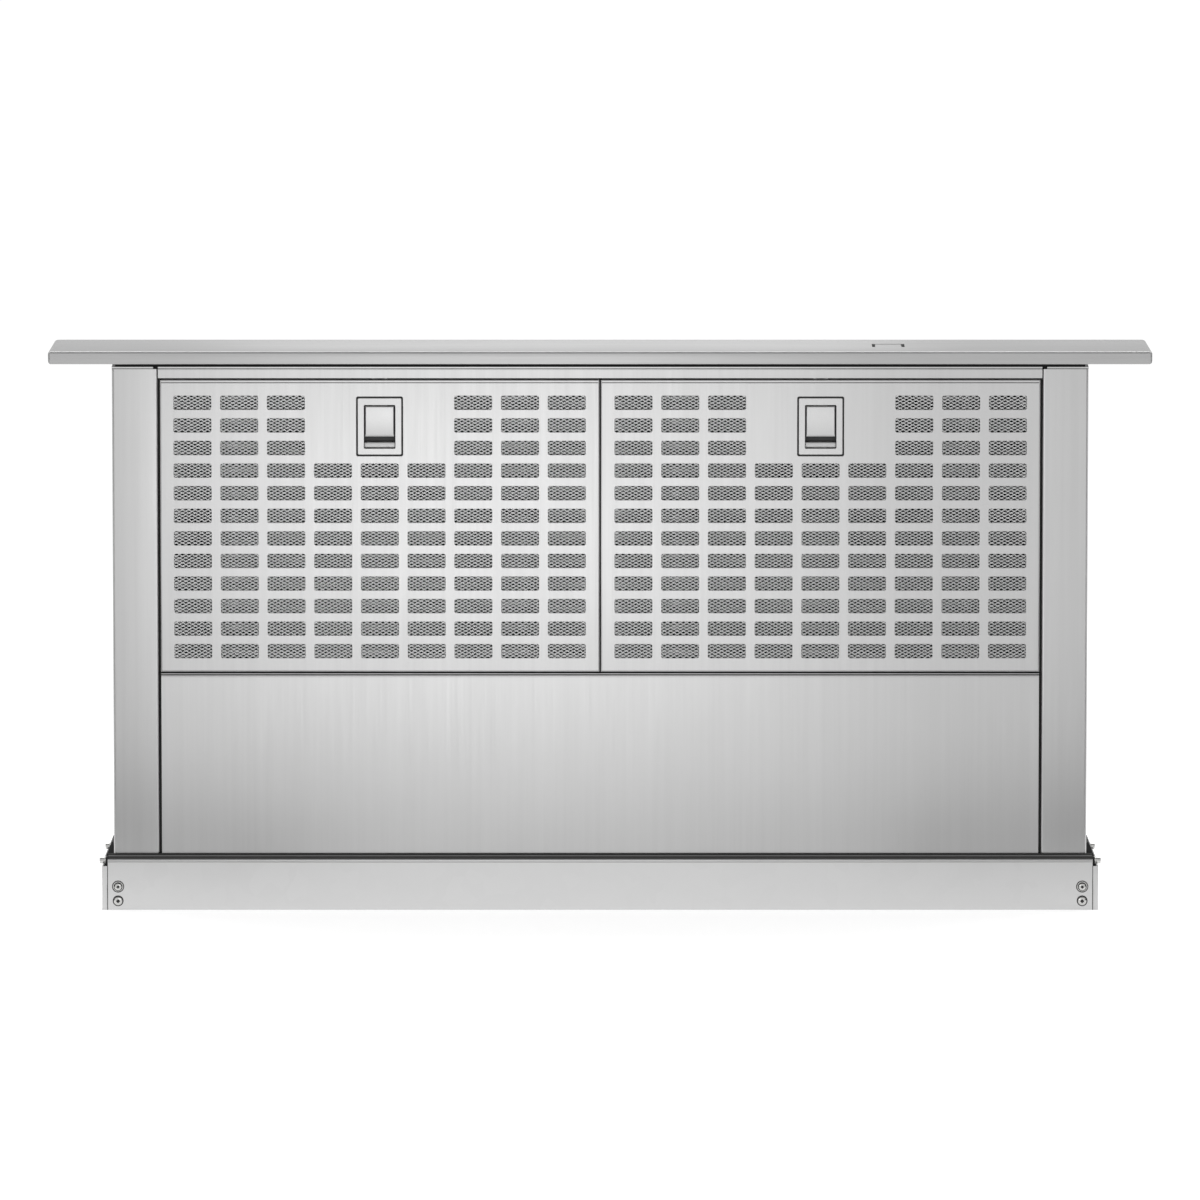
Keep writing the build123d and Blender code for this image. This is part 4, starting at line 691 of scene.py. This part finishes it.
def grease_filter(side):
    """One tray: its slotted face, bent rim, top edge and pressed line, and its mesh."""
    body = f"filter_{side}"
    low, high = box_mm(f"filter_face_{side}")
    middle = (low + high) / 2
    tray_low, tray_high = tray_box(side)
    across = (tray_low.x + BEND_R, tray_high.x - BEND_R)
    band_bottom, band_top = tray_high.z - TOP_BAND, tray_high.z - BEND_R
    back = low.y + SHEET
    sheet = slotted_sheet(side, low, high, tray_low, band_bottom - GROOVE)
    rim = tray_rim(f"tray_rim_{side}", tray_low, tray_high)
    band = box_piece(f"tray_band_{side}", across, (low.y, back), (band_bottom, band_top))
    band = soften(band, f"tray_top_{side}", 0.1)
    finished(band, body, "stainless_upright", coat="filter_sheet")
    # A black strip of painted shade behind the pressed line, in the wiper rubber's finish.
    groove_shade_z = (band_bottom - GROOVE - GROOVE_SHADE_LAP, band_top)
    groove_shade = box_piece(f"tray_groove_{side}", across, (back, back + GROOVE_SHADE_T), groove_shade_z)
    finished(groove_shade, body, "wiper_rubber")
    finished(sheet, body, "stainless_upright", (f"filter_face_{side}",), "filter_sheet")
    finished(rim, body, "stainless_upright", coat="filter_sheet")

    mesh_low, mesh_high = box_mm(f"filter_mesh_{side}")
    half_w, half_h = (mesh_high.x - mesh_low.x) / 2, (mesh_high.z - mesh_low.z) / 2
    for label, (cell, pitch, depth, shift, strand, coat) in MESH_LAYERS.items():
        lengths = {
            "Half cell": cell / 2,
            "Row pitch": pitch,
            "Sway": pitch * 0.94,
            "Lean": 0.5,
            "Slant": 0.17 * cell,
            "From across": -half_w - cell + shift,
            "From up": -half_h + 0.4,
            "Half width": half_w,
            "Half height": half_h,
            "Channel half width": CHANNEL_HALF_W,
            "Channel from": (high.z - low.z) / 2 - LATCH_DROP - CHANNEL_DROP,
            "Strand radius": strand,
        }
        sizes = {name: length * MM for name, length in lengths.items()}
        sizes |= {
            "Points": int(2 * half_w / (cell / 2)) + 4,
            "Rows": int(2 * half_h / pitch) + 1,
            "Section turn": -math.pi / 2,
            "Finish": FINISHES[coat],
        }
        strands = expanded_mesh(f"strand_rows_{label}_{side}", sizes)
        layer = plain_mesh(strands, f"expanded_{label}_{side}")
        turned_upright(layer, middle.x, mesh_low.y + depth, middle.z)
        stands_for = (f"filter_mesh_{side}",) if label == "front" else ()
        finished(layer, body, "filter_mesh", stands_for, coat)


# ---- Latches ----
FLANGE = 1.9  # the frame's hidden flange, past its gap
FLANGE_T = 1.0
POCKET_WALL = 3.0
GAP_SHADE_SINK = 0.3
# The bright lip's section: back from the tab's rear face, and up from the window's lower edge.
LIP_FRONT = ((0.6, 0.3), (0.65, 2.9), (0.85, 3.6), (1.25, 4.15), (1.8, 4.45), (2.5, 4.55))
LIP_BACK = 0.35  # in front of the pocket's floor
# The tab's outline at three depths: back from its face, inset, and the lower edge's rise.
TAB_LEVELS = ((TAB_T, 0.0, 0.0), (0.5, 0.0, 0.0), (0.0, 0.6, 1.7))
TAB_SINK = 0.4
BOLT_W = 10.0
BOLT_LAP = 0.5  # below the tab's top


def latch(side):
    """Flush latch: a frame round a pocket with a bright lip, and the finger tab with its bolt."""
    body = f"filter_{side}"
    low, high = box_mm(f"latch_housing_{side}")
    face_low, face_high = box_mm(f"filter_face_{side}")
    front = face_low.y
    x = (low.x + high.x) / 2
    z = face_high.z - LATCH_DROP
    window_z = z - WINDOW_DROP
    bottom = window_z - WINDOW_H / 2

    def ring(w, h, y, r, middle=z):
        return upright_ring(x, middle, y, rounded(w, h, r))

    def frame_ring(grow, y, corner=LATCH_CORNER):
        return ring(LATCH_W + grow, LATCH_H + grow, y, corner)

    def window_ring(grow, y, corner):
        return ring(WINDOW_W + grow, WINDOW_H + grow, y, corner, window_z)

    sheet_back = front + SHEET
    flange = 2 * (LATCH_GAP + FLANGE)
    rings = [
        window_ring(0.0, front + POCKET, 0.8),
        window_ring(0.0, front, 0.8),
        frame_ring(0.0, front),
        frame_ring(0.0, sheet_back),
        frame_ring(flange, sheet_back),
        frame_ring(flange, sheet_back + FLANGE_T),
        window_ring(2 * POCKET_WALL, sheet_back + FLANGE_T, 1.5),
        window_ring(2 * POCKET_WALL, front + POCKET + FLANGE_T, 1.5),
    ]
    frame_sharp = solid(f"latch_frame_sharp_{side}", rings)
    housing = soften(frame_sharp, f"latch_frame_{side}", 0.4, 3, 50.0)
    finished(housing, body, "satin_latch", (f"latch_housing_{side}",))

    # A black ring of painted shade in the gap round the frame.
    wide = 2 * LATCH_GAP - 0.1
    rings = [
        frame_ring(wide, sheet_back, OPENING_CORNER),
        frame_ring(wide, front + GAP_SHADE_SINK, OPENING_CORNER),
        frame_ring(0.1, front + GAP_SHADE_SINK),
        frame_ring(0.1, sheet_back),
    ]
    gap_shade = mesh_object(f"latch_gasket_{side}", *loft(rings, closed=True))
    finished(gap_shade, body, "wiper_rubber")

    # A black cup of painted shade inside the pocket, behind the lip.
    deep = front + POCKET - 0.05
    rings = [
        window_ring(-0.6, deep - 0.3, 0.5),
        window_ring(-0.6, front + 1.3, 0.5),
        window_ring(-0.1, front + 1.1, 0.7),
        window_ring(-0.1, deep, 0.7),
    ]
    shade_cup = solid(f"latch_cup_{side}", rings)
    finished(shade_cup, body, "guide_plastic")

    # Bright lip on the pocket's floor, behind the tab's way down.
    section = [(front + TAB_T + back, bottom + rise) for back, rise in LIP_FRONT]
    section += [(front + POCKET - LIP_BACK, bottom + rise) for rise in (4.45, 0.3)]
    half = WINDOW_W / 2 - 0.3
    rings = [[(x + s * half, y, height) for y, height in section] for s in (-1, 1)]
    lip = solid(f"latch_lip_{side}", rings, 50.0)
    finished(lip, body, "satin_latch")

    # Tab: a plate with narrow bevels at its top and sides and a broad one below.
    tab_high = box_mm(f"latch_tab_{side}")[1]
    top = window_z + WINDOW_H / 2 - TAB_GAP
    half = WINDOW_W / 2 - TAB_GAP
    face_y = front + TAB_SINK
    rings = []
    for back, inset, rise in TAB_LEVELS:
        wide, high_edge, low_edge = half - inset, top - inset, top - TAB_H + rise
        corners = ((-wide, low_edge), (wide, low_edge), (wide, high_edge), (-wide, high_edge))
        rings.append(upright_ring(x, 0.0, face_y + back, corners))
    plate = solid(f"latch_plate_{side}", rings)
    bolt_t = tab_high.y - face_y - TAB_T
    bolt_y = face_y + TAB_T + bolt_t / 2
    rings = [
        flat_ring(x, bolt_y, level, rounded(BOLT_W, bolt_t, 0.3, 2))
        for level in (top - BOLT_LAP, tab_high.z)
    ]
    lever = soften(plate, f"latch_lever_{side}", 0.14, angle=25.0)
    finished(lever, f"latch_{side}", "satin_latch", (f"latch_tab_{side}",))
    bolt = solid(f"latch_bolt_sharp_{side}", rings)
    bolt = soften(bolt, f"latch_bolt_{side}", 0.25, angle=50.0)
    finished(bolt, f"latch_{side}", "satin_latch")


for side in SIDES:
    grease_filter(side)
    latch(side)


# ---- Cap and button ----
CAP_SHEET = 1.2
CAP_END_ROUND = 2.6  # the lower edge rises at the ends
CAP_BACK_CORNER, CAP_FRONT_CORNER = 2.4, 1.6
CAP_TAPER = 1.8  # each end, from the front to the back
CAP_BEND_X, CAP_BEND_Y, CAP_BEND_Z = 2.4, 1.4, 1.6
BUTTON_WINDOW = 19.0
BUTTON_NOTCHES = 3.6  # both together


def cap_piece():
    """Folded and welded cap: soft upper edges, rounded ends and a window for the button."""
    low, high = cap_low, cap_high
    width, depth, top = high.x - low.x, high.y - low.y, high.z

    def ring(inset_x, inset_y, z, tighter, lift=0.0):
        radii = (CAP_BACK_CORNER - tighter, max(CAP_FRONT_CORNER - tighter, 0.2))
        straight = width / 2 - CAP_END_ROUND
        points = []
        for u, v in rounded(width - 2 * inset_x, depth - 2 * inset_y, radii, 6):
            past = min(max(abs(u) - straight, 0.0), CAP_END_ROUND)
            rise = lift * (CAP_END_ROUND - math.sqrt(CAP_END_ROUND**2 - past**2))
            taper = 1 - CAP_TAPER * (v / depth + 0.5) / (width / 2)
            points.append((u * taper, v, z + rise))
        return points

    rings = [
        ring(CAP_SHEET, CAP_SHEET, top - CAP_SHEET, CAP_SHEET),
        ring(CAP_SHEET, CAP_SHEET, low.z, CAP_SHEET, 1.0),
        ring(0.25, 0.25, low.z, 0.2, 1.0),
        ring(0.0, 0.0, low.z + 0.25, 0.0, 1.0),
        ring(0.0, 0.0, low.z + (top - low.z) * 0.55, 0.0),
    ]
    for turn in (math.radians(angle) for angle in range(0, 91, 15)):
        inset = 1 - math.cos(turn)
        level = top - CAP_BEND_Z * (1 - math.sin(turn))
        rings.append(ring(CAP_BEND_X * inset, CAP_BEND_Y * inset, level, CAP_BEND_Y * inset))
    vertices, faces = loft(rings)
    count, start = len(rings[0]), len(vertices)
    hole = rounded(BUTTON_WINDOW + BUTTON_NOTCHES, BUTTON_WINDOW, 0.3, 6)
    n = len(hole)
    for level in (top, top - CAP_SHEET):
        vertices += [(button_x + u, v, level) for u, v in hole]

    def close_sheet(tidy):
        """Adds the window's walls, and the flat sheet between each outer ring and the window."""
        for i in range(n):
            j = (i + 1) % n
            tidy.faces.new([tidy.verts[start + k] for k in (i, j, n + j, n + i)])
        for spans in (((start - count, count), (start, n)), ((0, count), (start + n, n))):
            loops = []
            for first, size in spans:
                for i in range(size):
                    a, b = tidy.verts[first + i], tidy.verts[first + (i + 1) % size]
                    loops.append(tidy.edges.get((a, b)) or tidy.edges.new((a, b)))
            bmesh.ops.triangle_fill(tidy, use_beauty=True, edges=loops)

    shell = mesh_object("cap_shell", vertices, faces, 28.0, close_sheet)
    finished(shell, "column", "stainless_cap", ("cap",))


# ---- Strips of painted shade, and fine lines ----
def strip(name, x, y, z, body="column", coat="shade_and_seam_black"):
    """A strip that fills a span along each axis, with rounded long edges."""
    spans = (x, y, z)
    across, deep, tall = (high - low for low, high in spans)
    middle_x, middle_y, middle_z = ((low + high) / 2 for low, high in spans)
    corner = min(across, deep, tall) * 0.3
    if across >= tall:
        path = rounded(deep, tall, corner, 3)
        rings = [[(end, middle_y + u, middle_z + v) for u, v in path] for end in x]
    else:
        path = rounded(across, deep, corner, 3)
        rings = [flat_ring(middle_x, middle_y, end, path) for end in z]
    finished(solid(name, rings), body, "seal_felt", coat=coat)


half_depth = -box_mm("chassis_front_panel")[0].y - 0.4
rim_z = box_mm("chassis_front_panel")[1].z
cap_low, cap_high = box_mm("cap")
button_low, button_high = box_mm("power_button")
button_x = (button_low.x + button_high.x) / 2
header_low, header_high = box_mm("header_rail")
post_low, post_high = box_mm("post_right")
post_in, post_edge = post_low.x, post_high.x
panel_high = box_mm("lower_front_panel")[1]
panel_edge, ledge = panel_high.x, panel_high.z
tray_high = box_mm("filter_face_right")[1]
seal_low, seal_high = box_mm("wiper_seals")
column_front = header_low.y
face_bottom = header_high.z - 7.8
seat = tray_high.y + 0.3
between_posts = (-post_in + 0.1, post_in - 0.1)
along_panel = (-panel_edge, panel_edge)
along_seal = (seal_low.x + 0.5, seal_high.x - 0.5)
FOAM_HALF_L = 335.0
BEND_SHADE_DROP, BEND_SHADE_HALF_H = 1.3, 0.25

cap_piece()

# Black strips of painted shade in the notches at the button's ends, and under the cap.
for side, sign in SIDES.items():
    ends = sorted(button_x + sign * reach for reach in (9.4, 11.25))
    strip(f"button_gap_{side}", ends, (-9.4, 9.4), (cap_high.z - 1.1, cap_high.z - 0.35))
for label, y in (("front", (-24.4, -22.4)), ("rear", (22.4, 24.4))):
    under_cap = (header_high.z, cap_low.z + 0.3)
    strip(f"cap_foam_{label}", (-FOAM_HALF_L, FOAM_HALF_L), y, under_cap)

# Black strips of painted shade on the seat behind the filters' gaps, beside the lower panel, in
# each post's top inner corner and on the ledge.
for side, sign in SIDES.items():
    gap = (column_front + 0.9, seat)
    ends = on_side(sign, tray_high.x + 0.3, post_in - 0.02)
    strip(f"gap_seal_{side}", ends, gap, (ledge, face_bottom))
    ends = on_side(sign, panel_edge + 0.1, post_in - 0.02)
    strip(f"panel_seal_{side}", ends, gap, (rim_z - 8.0, ledge))
    strip(
        f"corner_foam_{side}",
        on_side(sign, post_in + 0.1, post_in + 3.3),
        (column_front + 0.3, column_front + 1.95),
        (header_high.z - 1.15, header_high.z + 0.1),
    )
strip("gap_seal_middle", (-0.95, 0.95), (column_front + 5.0, seat), (ledge, face_bottom))
strip("ledge_seal", between_posts, (column_front + 2.2, column_front + 4.2), (ledge, ledge + 1.5))

# A black line of painted shade along the bend under each folded top edge.
seam = header_high.z - BEND_SHADE_DROP
bend_shade_y = (column_front - 0.04, column_front + 0.3)
bend_shade_z = (seam - BEND_SHADE_HALF_H, seam + BEND_SHADE_HALF_H)
for side, sign in SIDES.items():
    strip(f"post_seam_{side}", on_side(sign, post_in + 0.4, post_edge - 0.6), bend_shade_y, bend_shade_z)
strip("header_seam", (header_low.x + 0.2, header_high.x - 0.2), bend_shade_y, bend_shade_z)

# The ledge's bead, as three lines: how far each stands out, and its span below the ledge. The dark
# line is a black strip of painted shade in the bead's groove.
for label, stand, upper, lower, coat in (
    ("light", 0.15, 0.05, 0.75, "filter_sheet"),
    ("dark", 0.05, 0.75, 1.45, "shade_and_seam_black"),
    ("bright", 0.2, 1.45, 2.7, "filter_sheet"),
):
    y = (column_front - stand, column_front + 0.8)
    strip(f"ledge_line_{label}", along_panel, y, (ledge - lower, ledge - upper), coat=coat)

# The chassis's bright lip, and the bead and the flange of the seal above it; the bead's lighter
# grey is a painted highlight and the flange's dark grey a painted sheen on the black rubber.
lip_y = (-half_depth - 0.46, -half_depth + 0.2)
strip("lip_front", (-341.4, 341.4), lip_y, (rim_z - 2.3, rim_z - 0.35), "chassis", "lip_steel")
for label, sign in (("front", -1), ("rear", 1)):
    for part, stand, lower, upper in (("bead", 0.25, 2.1, 3.0), ("flange", 0.3, 0.05, 1.4)):
        y = on_side(sign, -seal_low.y + stand, -seal_low.y - 0.6)
        z = (rim_z + lower, rim_z + upper)
        strip(f"seal_{part}_{label}", along_seal, y, z, "chassis", f"seal_{part}")


# ---- Fasteners ----
AROUND = 32


def round_ring(radius, z):
    turns = (2 * math.pi * i / AROUND for i in range(AROUND))
    return [(radius * math.cos(turn), radius * math.sin(turn), z) for turn in turns]


def cross_ring(radius, z):
    """Ring of a cross-shaped recess: each quarter has an arm three points wide."""
    shares = (1.0 if i % (AROUND // 4) in (0, 1, 7) else 0.42 for i in range(AROUND))
    return [(u * share, v * share, z) for share, (u, v, z) in zip(shares, round_ring(radius, z))]


def pan_head(name, radius, height, washer=0.0, shank=0.0, shank_r=0.0):
    """Domed screw head with a cross recess, standing on z = 0; a flange and a shank if asked."""
    rings = []
    if shank:
        rings += [round_ring(shank_r, -shank), round_ring(shank_r, -0.02)]
    if washer:
        rings += [round_ring(washer, 0.0), round_ring(washer, 0.35), round_ring(washer - 0.25, 0.6)]
    rings.append(round_ring(radius, 0.6 if washer else 0.0))
    dome = 0.5 * radius * 0.45
    for turn in (math.radians(angle) for angle in (0, 25, 50, 72)):
        level = height - dome + dome * math.sin(turn)
        rings.append(round_ring(radius * math.cos(turn) ** 0.45, level))
    rings += [
        round_ring(radius * 0.52, height),
        cross_ring(radius * 0.47, height - 0.02),
        cross_ring(radius * 0.34, height * 0.35),
    ]
    return solid(name, rings, 32.0)


def screws(name, head, points, turn, stands_for=(), coat="screw_face"):
    """One head on each point, all on the chassis."""
    sizes = {"Copy": head, "Finish": FINISHES[coat]}
    placed = plain_mesh(spread_copies(name + "_places", sizes, points, turn), name)
    finished(placed, "chassis", "zinc_fasteners", stands_for, coat)


def on_face(places, facing):
    """Points on the chassis's front, or on its rear where facing is -1."""
    return [(x, -facing * half_depth, z) for x, z in places]


SCREW_X = 334.6
ROW_DROP, ROW_PITCH, TOP_DROP = 29.0, 280.0, 19.0
rows = [(s * SCREW_X, rim_z - ROW_DROP - ROW_PITCH * n) for s in (-1, 1) for n in range(3)]
tops = [(s * SCREW_X, rim_z - TOP_DROP) for s in (-1, 1)]
row_head = pan_head("row_head", 3.0, 2.0)
top_head = pan_head("top_head", 2.5, 2.3, washer=3.6)
for label, facing, stands_for in (("front", 1, ("panel_screws",)), ("rear", -1, ())):
    turn = (90 * facing, 0, 0)
    screws(f"{label}_row_screws", row_head, on_face(rows, facing), turn, stands_for)
    screws(f"{label}_top_screws", top_head, on_face(tops, facing), turn)

# Thin black discs of painted shade that show as dark rings: round a front head, in its groove or in
# its recess.
for label, radius, level, places in (
    ("row_outline", 3.75, 0.0, rows),
    ("row_recess", 1.15, 1.95, rows),
    ("top_outline", 4.2, 0.0, tops),
    ("top_groove", 3.05, 0.55, tops),
    ("top_recess", 0.95, 2.25, tops),
):
    rings = [round_ring(radius, level), round_ring(radius, level + 0.12)]
    disc = solid(label + "_disc", rings)
    screws(label, disc, on_face(places, 1), (90, 0, 0), coat="wiper_rubber")
    bpy.data.objects.remove(disc)

# The guides' screws: a broad head on the lug at each channel, a small one on the leaning strip.
ear_x = box_mm("side_channel_right")[1].x
GUIDE_SCREW = (ear_x - 2.2, -17.9, rim_z - 2.1)
STRIP_SCREW = (ear_x - 4.6, -6.0, rim_z + 6.1)
guide_head = pan_head("guide_head", 2.45, 4.4, washer=2.85)
strip_head = pan_head("strip_head", 2.15, 3.1, shank=1.4, shank_r=1.1)
for side, sign in SIDES.items():
    stands_for = ("guide_screws",) if side == "left" else ()
    for label, head, (x, y, z), stands in (
        ("guide", guide_head, GUIDE_SCREW, stands_for),
        ("strip", strip_head, STRIP_SCREW, ()),
    ):
        screws(f"{label}_screw_{side}", head, [(sign * x, y, z)], (0, sign * 90, 0), stands)
for head in (top_head, row_head, guide_head, strip_head):
    bpy.data.objects.remove(head)

# ---- Everything else keeps its CAD form with softened edges ----
EDGE_WIDTH = 0.25
EDGE_WIDTHS = {
    "post_left": 0.35,
    "post_right": 0.35,
    "lower_front_panel": 0.35,
    "header_rail": 0.3,
    "side_guide_left": 0.2,
    "side_guide_right": 0.2,
    "power_button": 0.2,
}
KEEP_AS_CAD = {f"{spring}_{side}" for spring in ("latch_spring", "keeper_spring") for side in SIDES}
REMADE = {
    "cap",
    "panel_screws",
    "guide_screws",
    *(
        f"{part}_{side}"
        for part in ("filter_face", "filter_mesh", "latch_housing", "latch_tab")
        for side in SIDES
    ),
}
GUIDE_DROP = 3.8
EAR_TOP = rim_z - 5.0
CORNER_TOP = rim_z - 4.7

for node in sorted(KEEP_AS_CAD):
    # The keeper springs take the black motor paint: painted shade that keeps them dark in the gap
    # over each latch.
    coat = "motor_black" if node.startswith("keeper") else SLOT_OF[node]
    NODES[node].data.materials.clear()
    NODES[node].data.materials.append(FINISHES[coat])
for node in sorted(set(NODES) - KEEP_AS_CAD - REMADE):
    piece = dress(node, EDGE_WIDTHS.get(node, EDGE_WIDTH))
    if node.startswith("side_guide"):
        for vertex in piece.data.vertices:
            vertex.co.z -= GUIDE_DROP * MM
    if node.startswith("side_channel"):
        for vertex in piece.data.vertices:
            vertex.co.z = min(vertex.co.z, EAR_TOP * MM)

# On each side channel: the corner plate, the lug that the guide's screw sits on, and a dark seam.
for side, sign in SIDES.items():
    corner = box_piece(
        f"channel_corner_sharp_{side}",
        on_side(sign, ear_x - 4.0, ear_x),
        (-half_depth, -half_depth + 1.2),
        (rim_z - 18.0, CORNER_TOP),
    )
    finished(soften(corner, f"channel_corner_{side}", 0.15), "chassis", "galvanised_steel")
    lug = box_piece(
        f"guide_lug_sharp_{side}",
        on_side(sign, ear_x - 4.8, ear_x - 2.2),
        (-21.0, -14.9),
        (rim_z - 6.4, rim_z + 0.6),
    )
    finished(soften(lug, f"guide_lug_{side}", 0.3), "chassis", "guide_plastic")
    line = box_piece(
        f"channel_seam_{side}",
        on_side(sign, ear_x - 4.05, ear_x - 3.6),
        (-half_depth - 0.06, -half_depth + 0.3),
        (30.0, CORNER_TOP),
    )
    finished(line, "chassis", "galvanised_steel", coat="shade_and_seam_black")

# ---- Stage and light, in metres ----
COUNTER_Z = 0.6147
COUNTER_REACH = 12.0
SLOT_CLEAR = 0.0004


def counter():
    """Pale worktop with a cut-out that the chassis stands in."""
    hole_x = ear_x * MM + SLOT_CLEAR
    hole_y = half_depth * MM + SLOT_CLEAR
    rims = ((COUNTER_REACH, COUNTER_REACH), (hole_x, hole_y))
    turns = ((-1, -1), (1, -1), (1, 1), (-1, 1))
    vertices = [(u * x, v * y, COUNTER_Z) for x, y in rims for u, v in turns]
    faces = [(i, (i + 1) % 4, 4 + (i + 1) % 4, 4 + i) for i in range(4)]
    mesh = bpy.data.meshes.new("worktop")
    mesh.from_pydata(vertices, [], faces)
    material = bpy.data.materials.new("worktop_white")
    net = empty_net(material)
    diffuse = net.add("ShaderNodeBsdfDiffuse", {"Color": (0.8, 0.8, 0.8, 1)})
    glow = net.math("MULTIPLY", net.seen_by_mirrors(), 0.6)
    emission = net.add("ShaderNodeEmission", {"Strength": glow})
    both = net.add("ShaderNodeAddShader", {0: diffuse.outputs[0], 1: emission.outputs[0]})
    net.add("ShaderNodeOutputMaterial", {0: both.outputs[0]})
    mesh.materials.append(material)
    new_object("worktop", mesh)


def flag(name, corners, tone):
    """Matte grey card that only polished metal mirrors; it blocks no light."""
    mesh = bpy.data.meshes.new(name)
    mesh.from_pydata(corners, [], [(0, 1, 2, 3)])
    material = bpy.data.materials.new(name + "_cloth")
    material.use_nodes = True
    shader = material.node_tree.nodes["Principled BSDF"]
    shader.inputs["Base Color"].default_value = (tone, tone, tone, 1)
    shader.inputs["Roughness"].default_value = 1.0
    mesh.materials.append(material)
    panel = new_object(name, mesh)
    for ray in ("camera", "diffuse", "transmission", "shadow"):
        setattr(panel, "visible_" + ray, False)


def low_flag(name, x0, x1, tone):
    """A card that lies on the worktop in front of the vent."""
    near, far, level = -0.18, -0.5, COUNTER_Z + 0.001
    flag(name, [(x0, near, level), (x1, near, level), (x1, far, level), (x0, far, level)], tone)


def softbox(name, place, aim, size, power):
    """Large rectangular lamp that points from its place to its aim."""
    data = bpy.data.lights.new(name, "AREA")
    data.shape = "RECTANGLE"
    data.size, data.size_y = size
    data.energy = power
    lamp = new_object(name, data)
    lamp.location = place
    lamp.rotation_euler = (Vector(aim) - Vector(place)).to_track_quat("-Z", "Y").to_euler()
    lamp.visible_camera = False


counter()
for side, x in (("left", -2.5), ("right", 2.2)):
    sign = SIDES[side]
    flag(f"flag_{side}", [(x, -2.6, 0.0), (x, -0.35, 0.0), (x, -0.35, 1.7), (x, -2.6, 1.7)], 0.03)
    low_flag(f"flag_low_{side}", sign * 0.2, sign * 1.3, 0.2)
low_flag("flag_low_middle", -0.2, 0.2, 0.9)
flag("flag_above", [(-2.5, -2.6, 2.2), (2.5, -2.6, 2.2), (2.5, -0.5, 3.4), (-2.5, -0.5, 3.4)], 0.5)
softbox("front_softbox", (-0.08, -0.85, 0.81), (-0.03, 0.0, 0.9), (0.42, 0.22), 0.36)
softbox("edge_strip", (0.0, 0.5, 2.2), (0.0, 0.0, 1.0), (2.4, 0.4), 10.0)
softbox("rear_softbox", (-0.03, 2.6, 1.45), (0.0, 0.0, 1.0), (0.6, 0.5), 0.7)
softbox("top_softbox", (0.0, -0.4, 3.2), (0.0, 0.0, 0.7), (3.0, 2.0), 3.0)

# The room is dimmer for what it lights than for what the camera and the metal see.
world = bpy.data.worlds.new("studio")
bpy.context.scene.world = world
world_net = empty_net(world)
strength = world_net.math("MULTIPLY_ADD", world_net.seen_by_mirrors(), 0.45, 0.55)
background = world_net.add("ShaderNodeBackground", {"Color": (1, 1, 1, 1), "Strength": strength})
world_net.add("ShaderNodeOutputWorld", {0: background.outputs[0]})
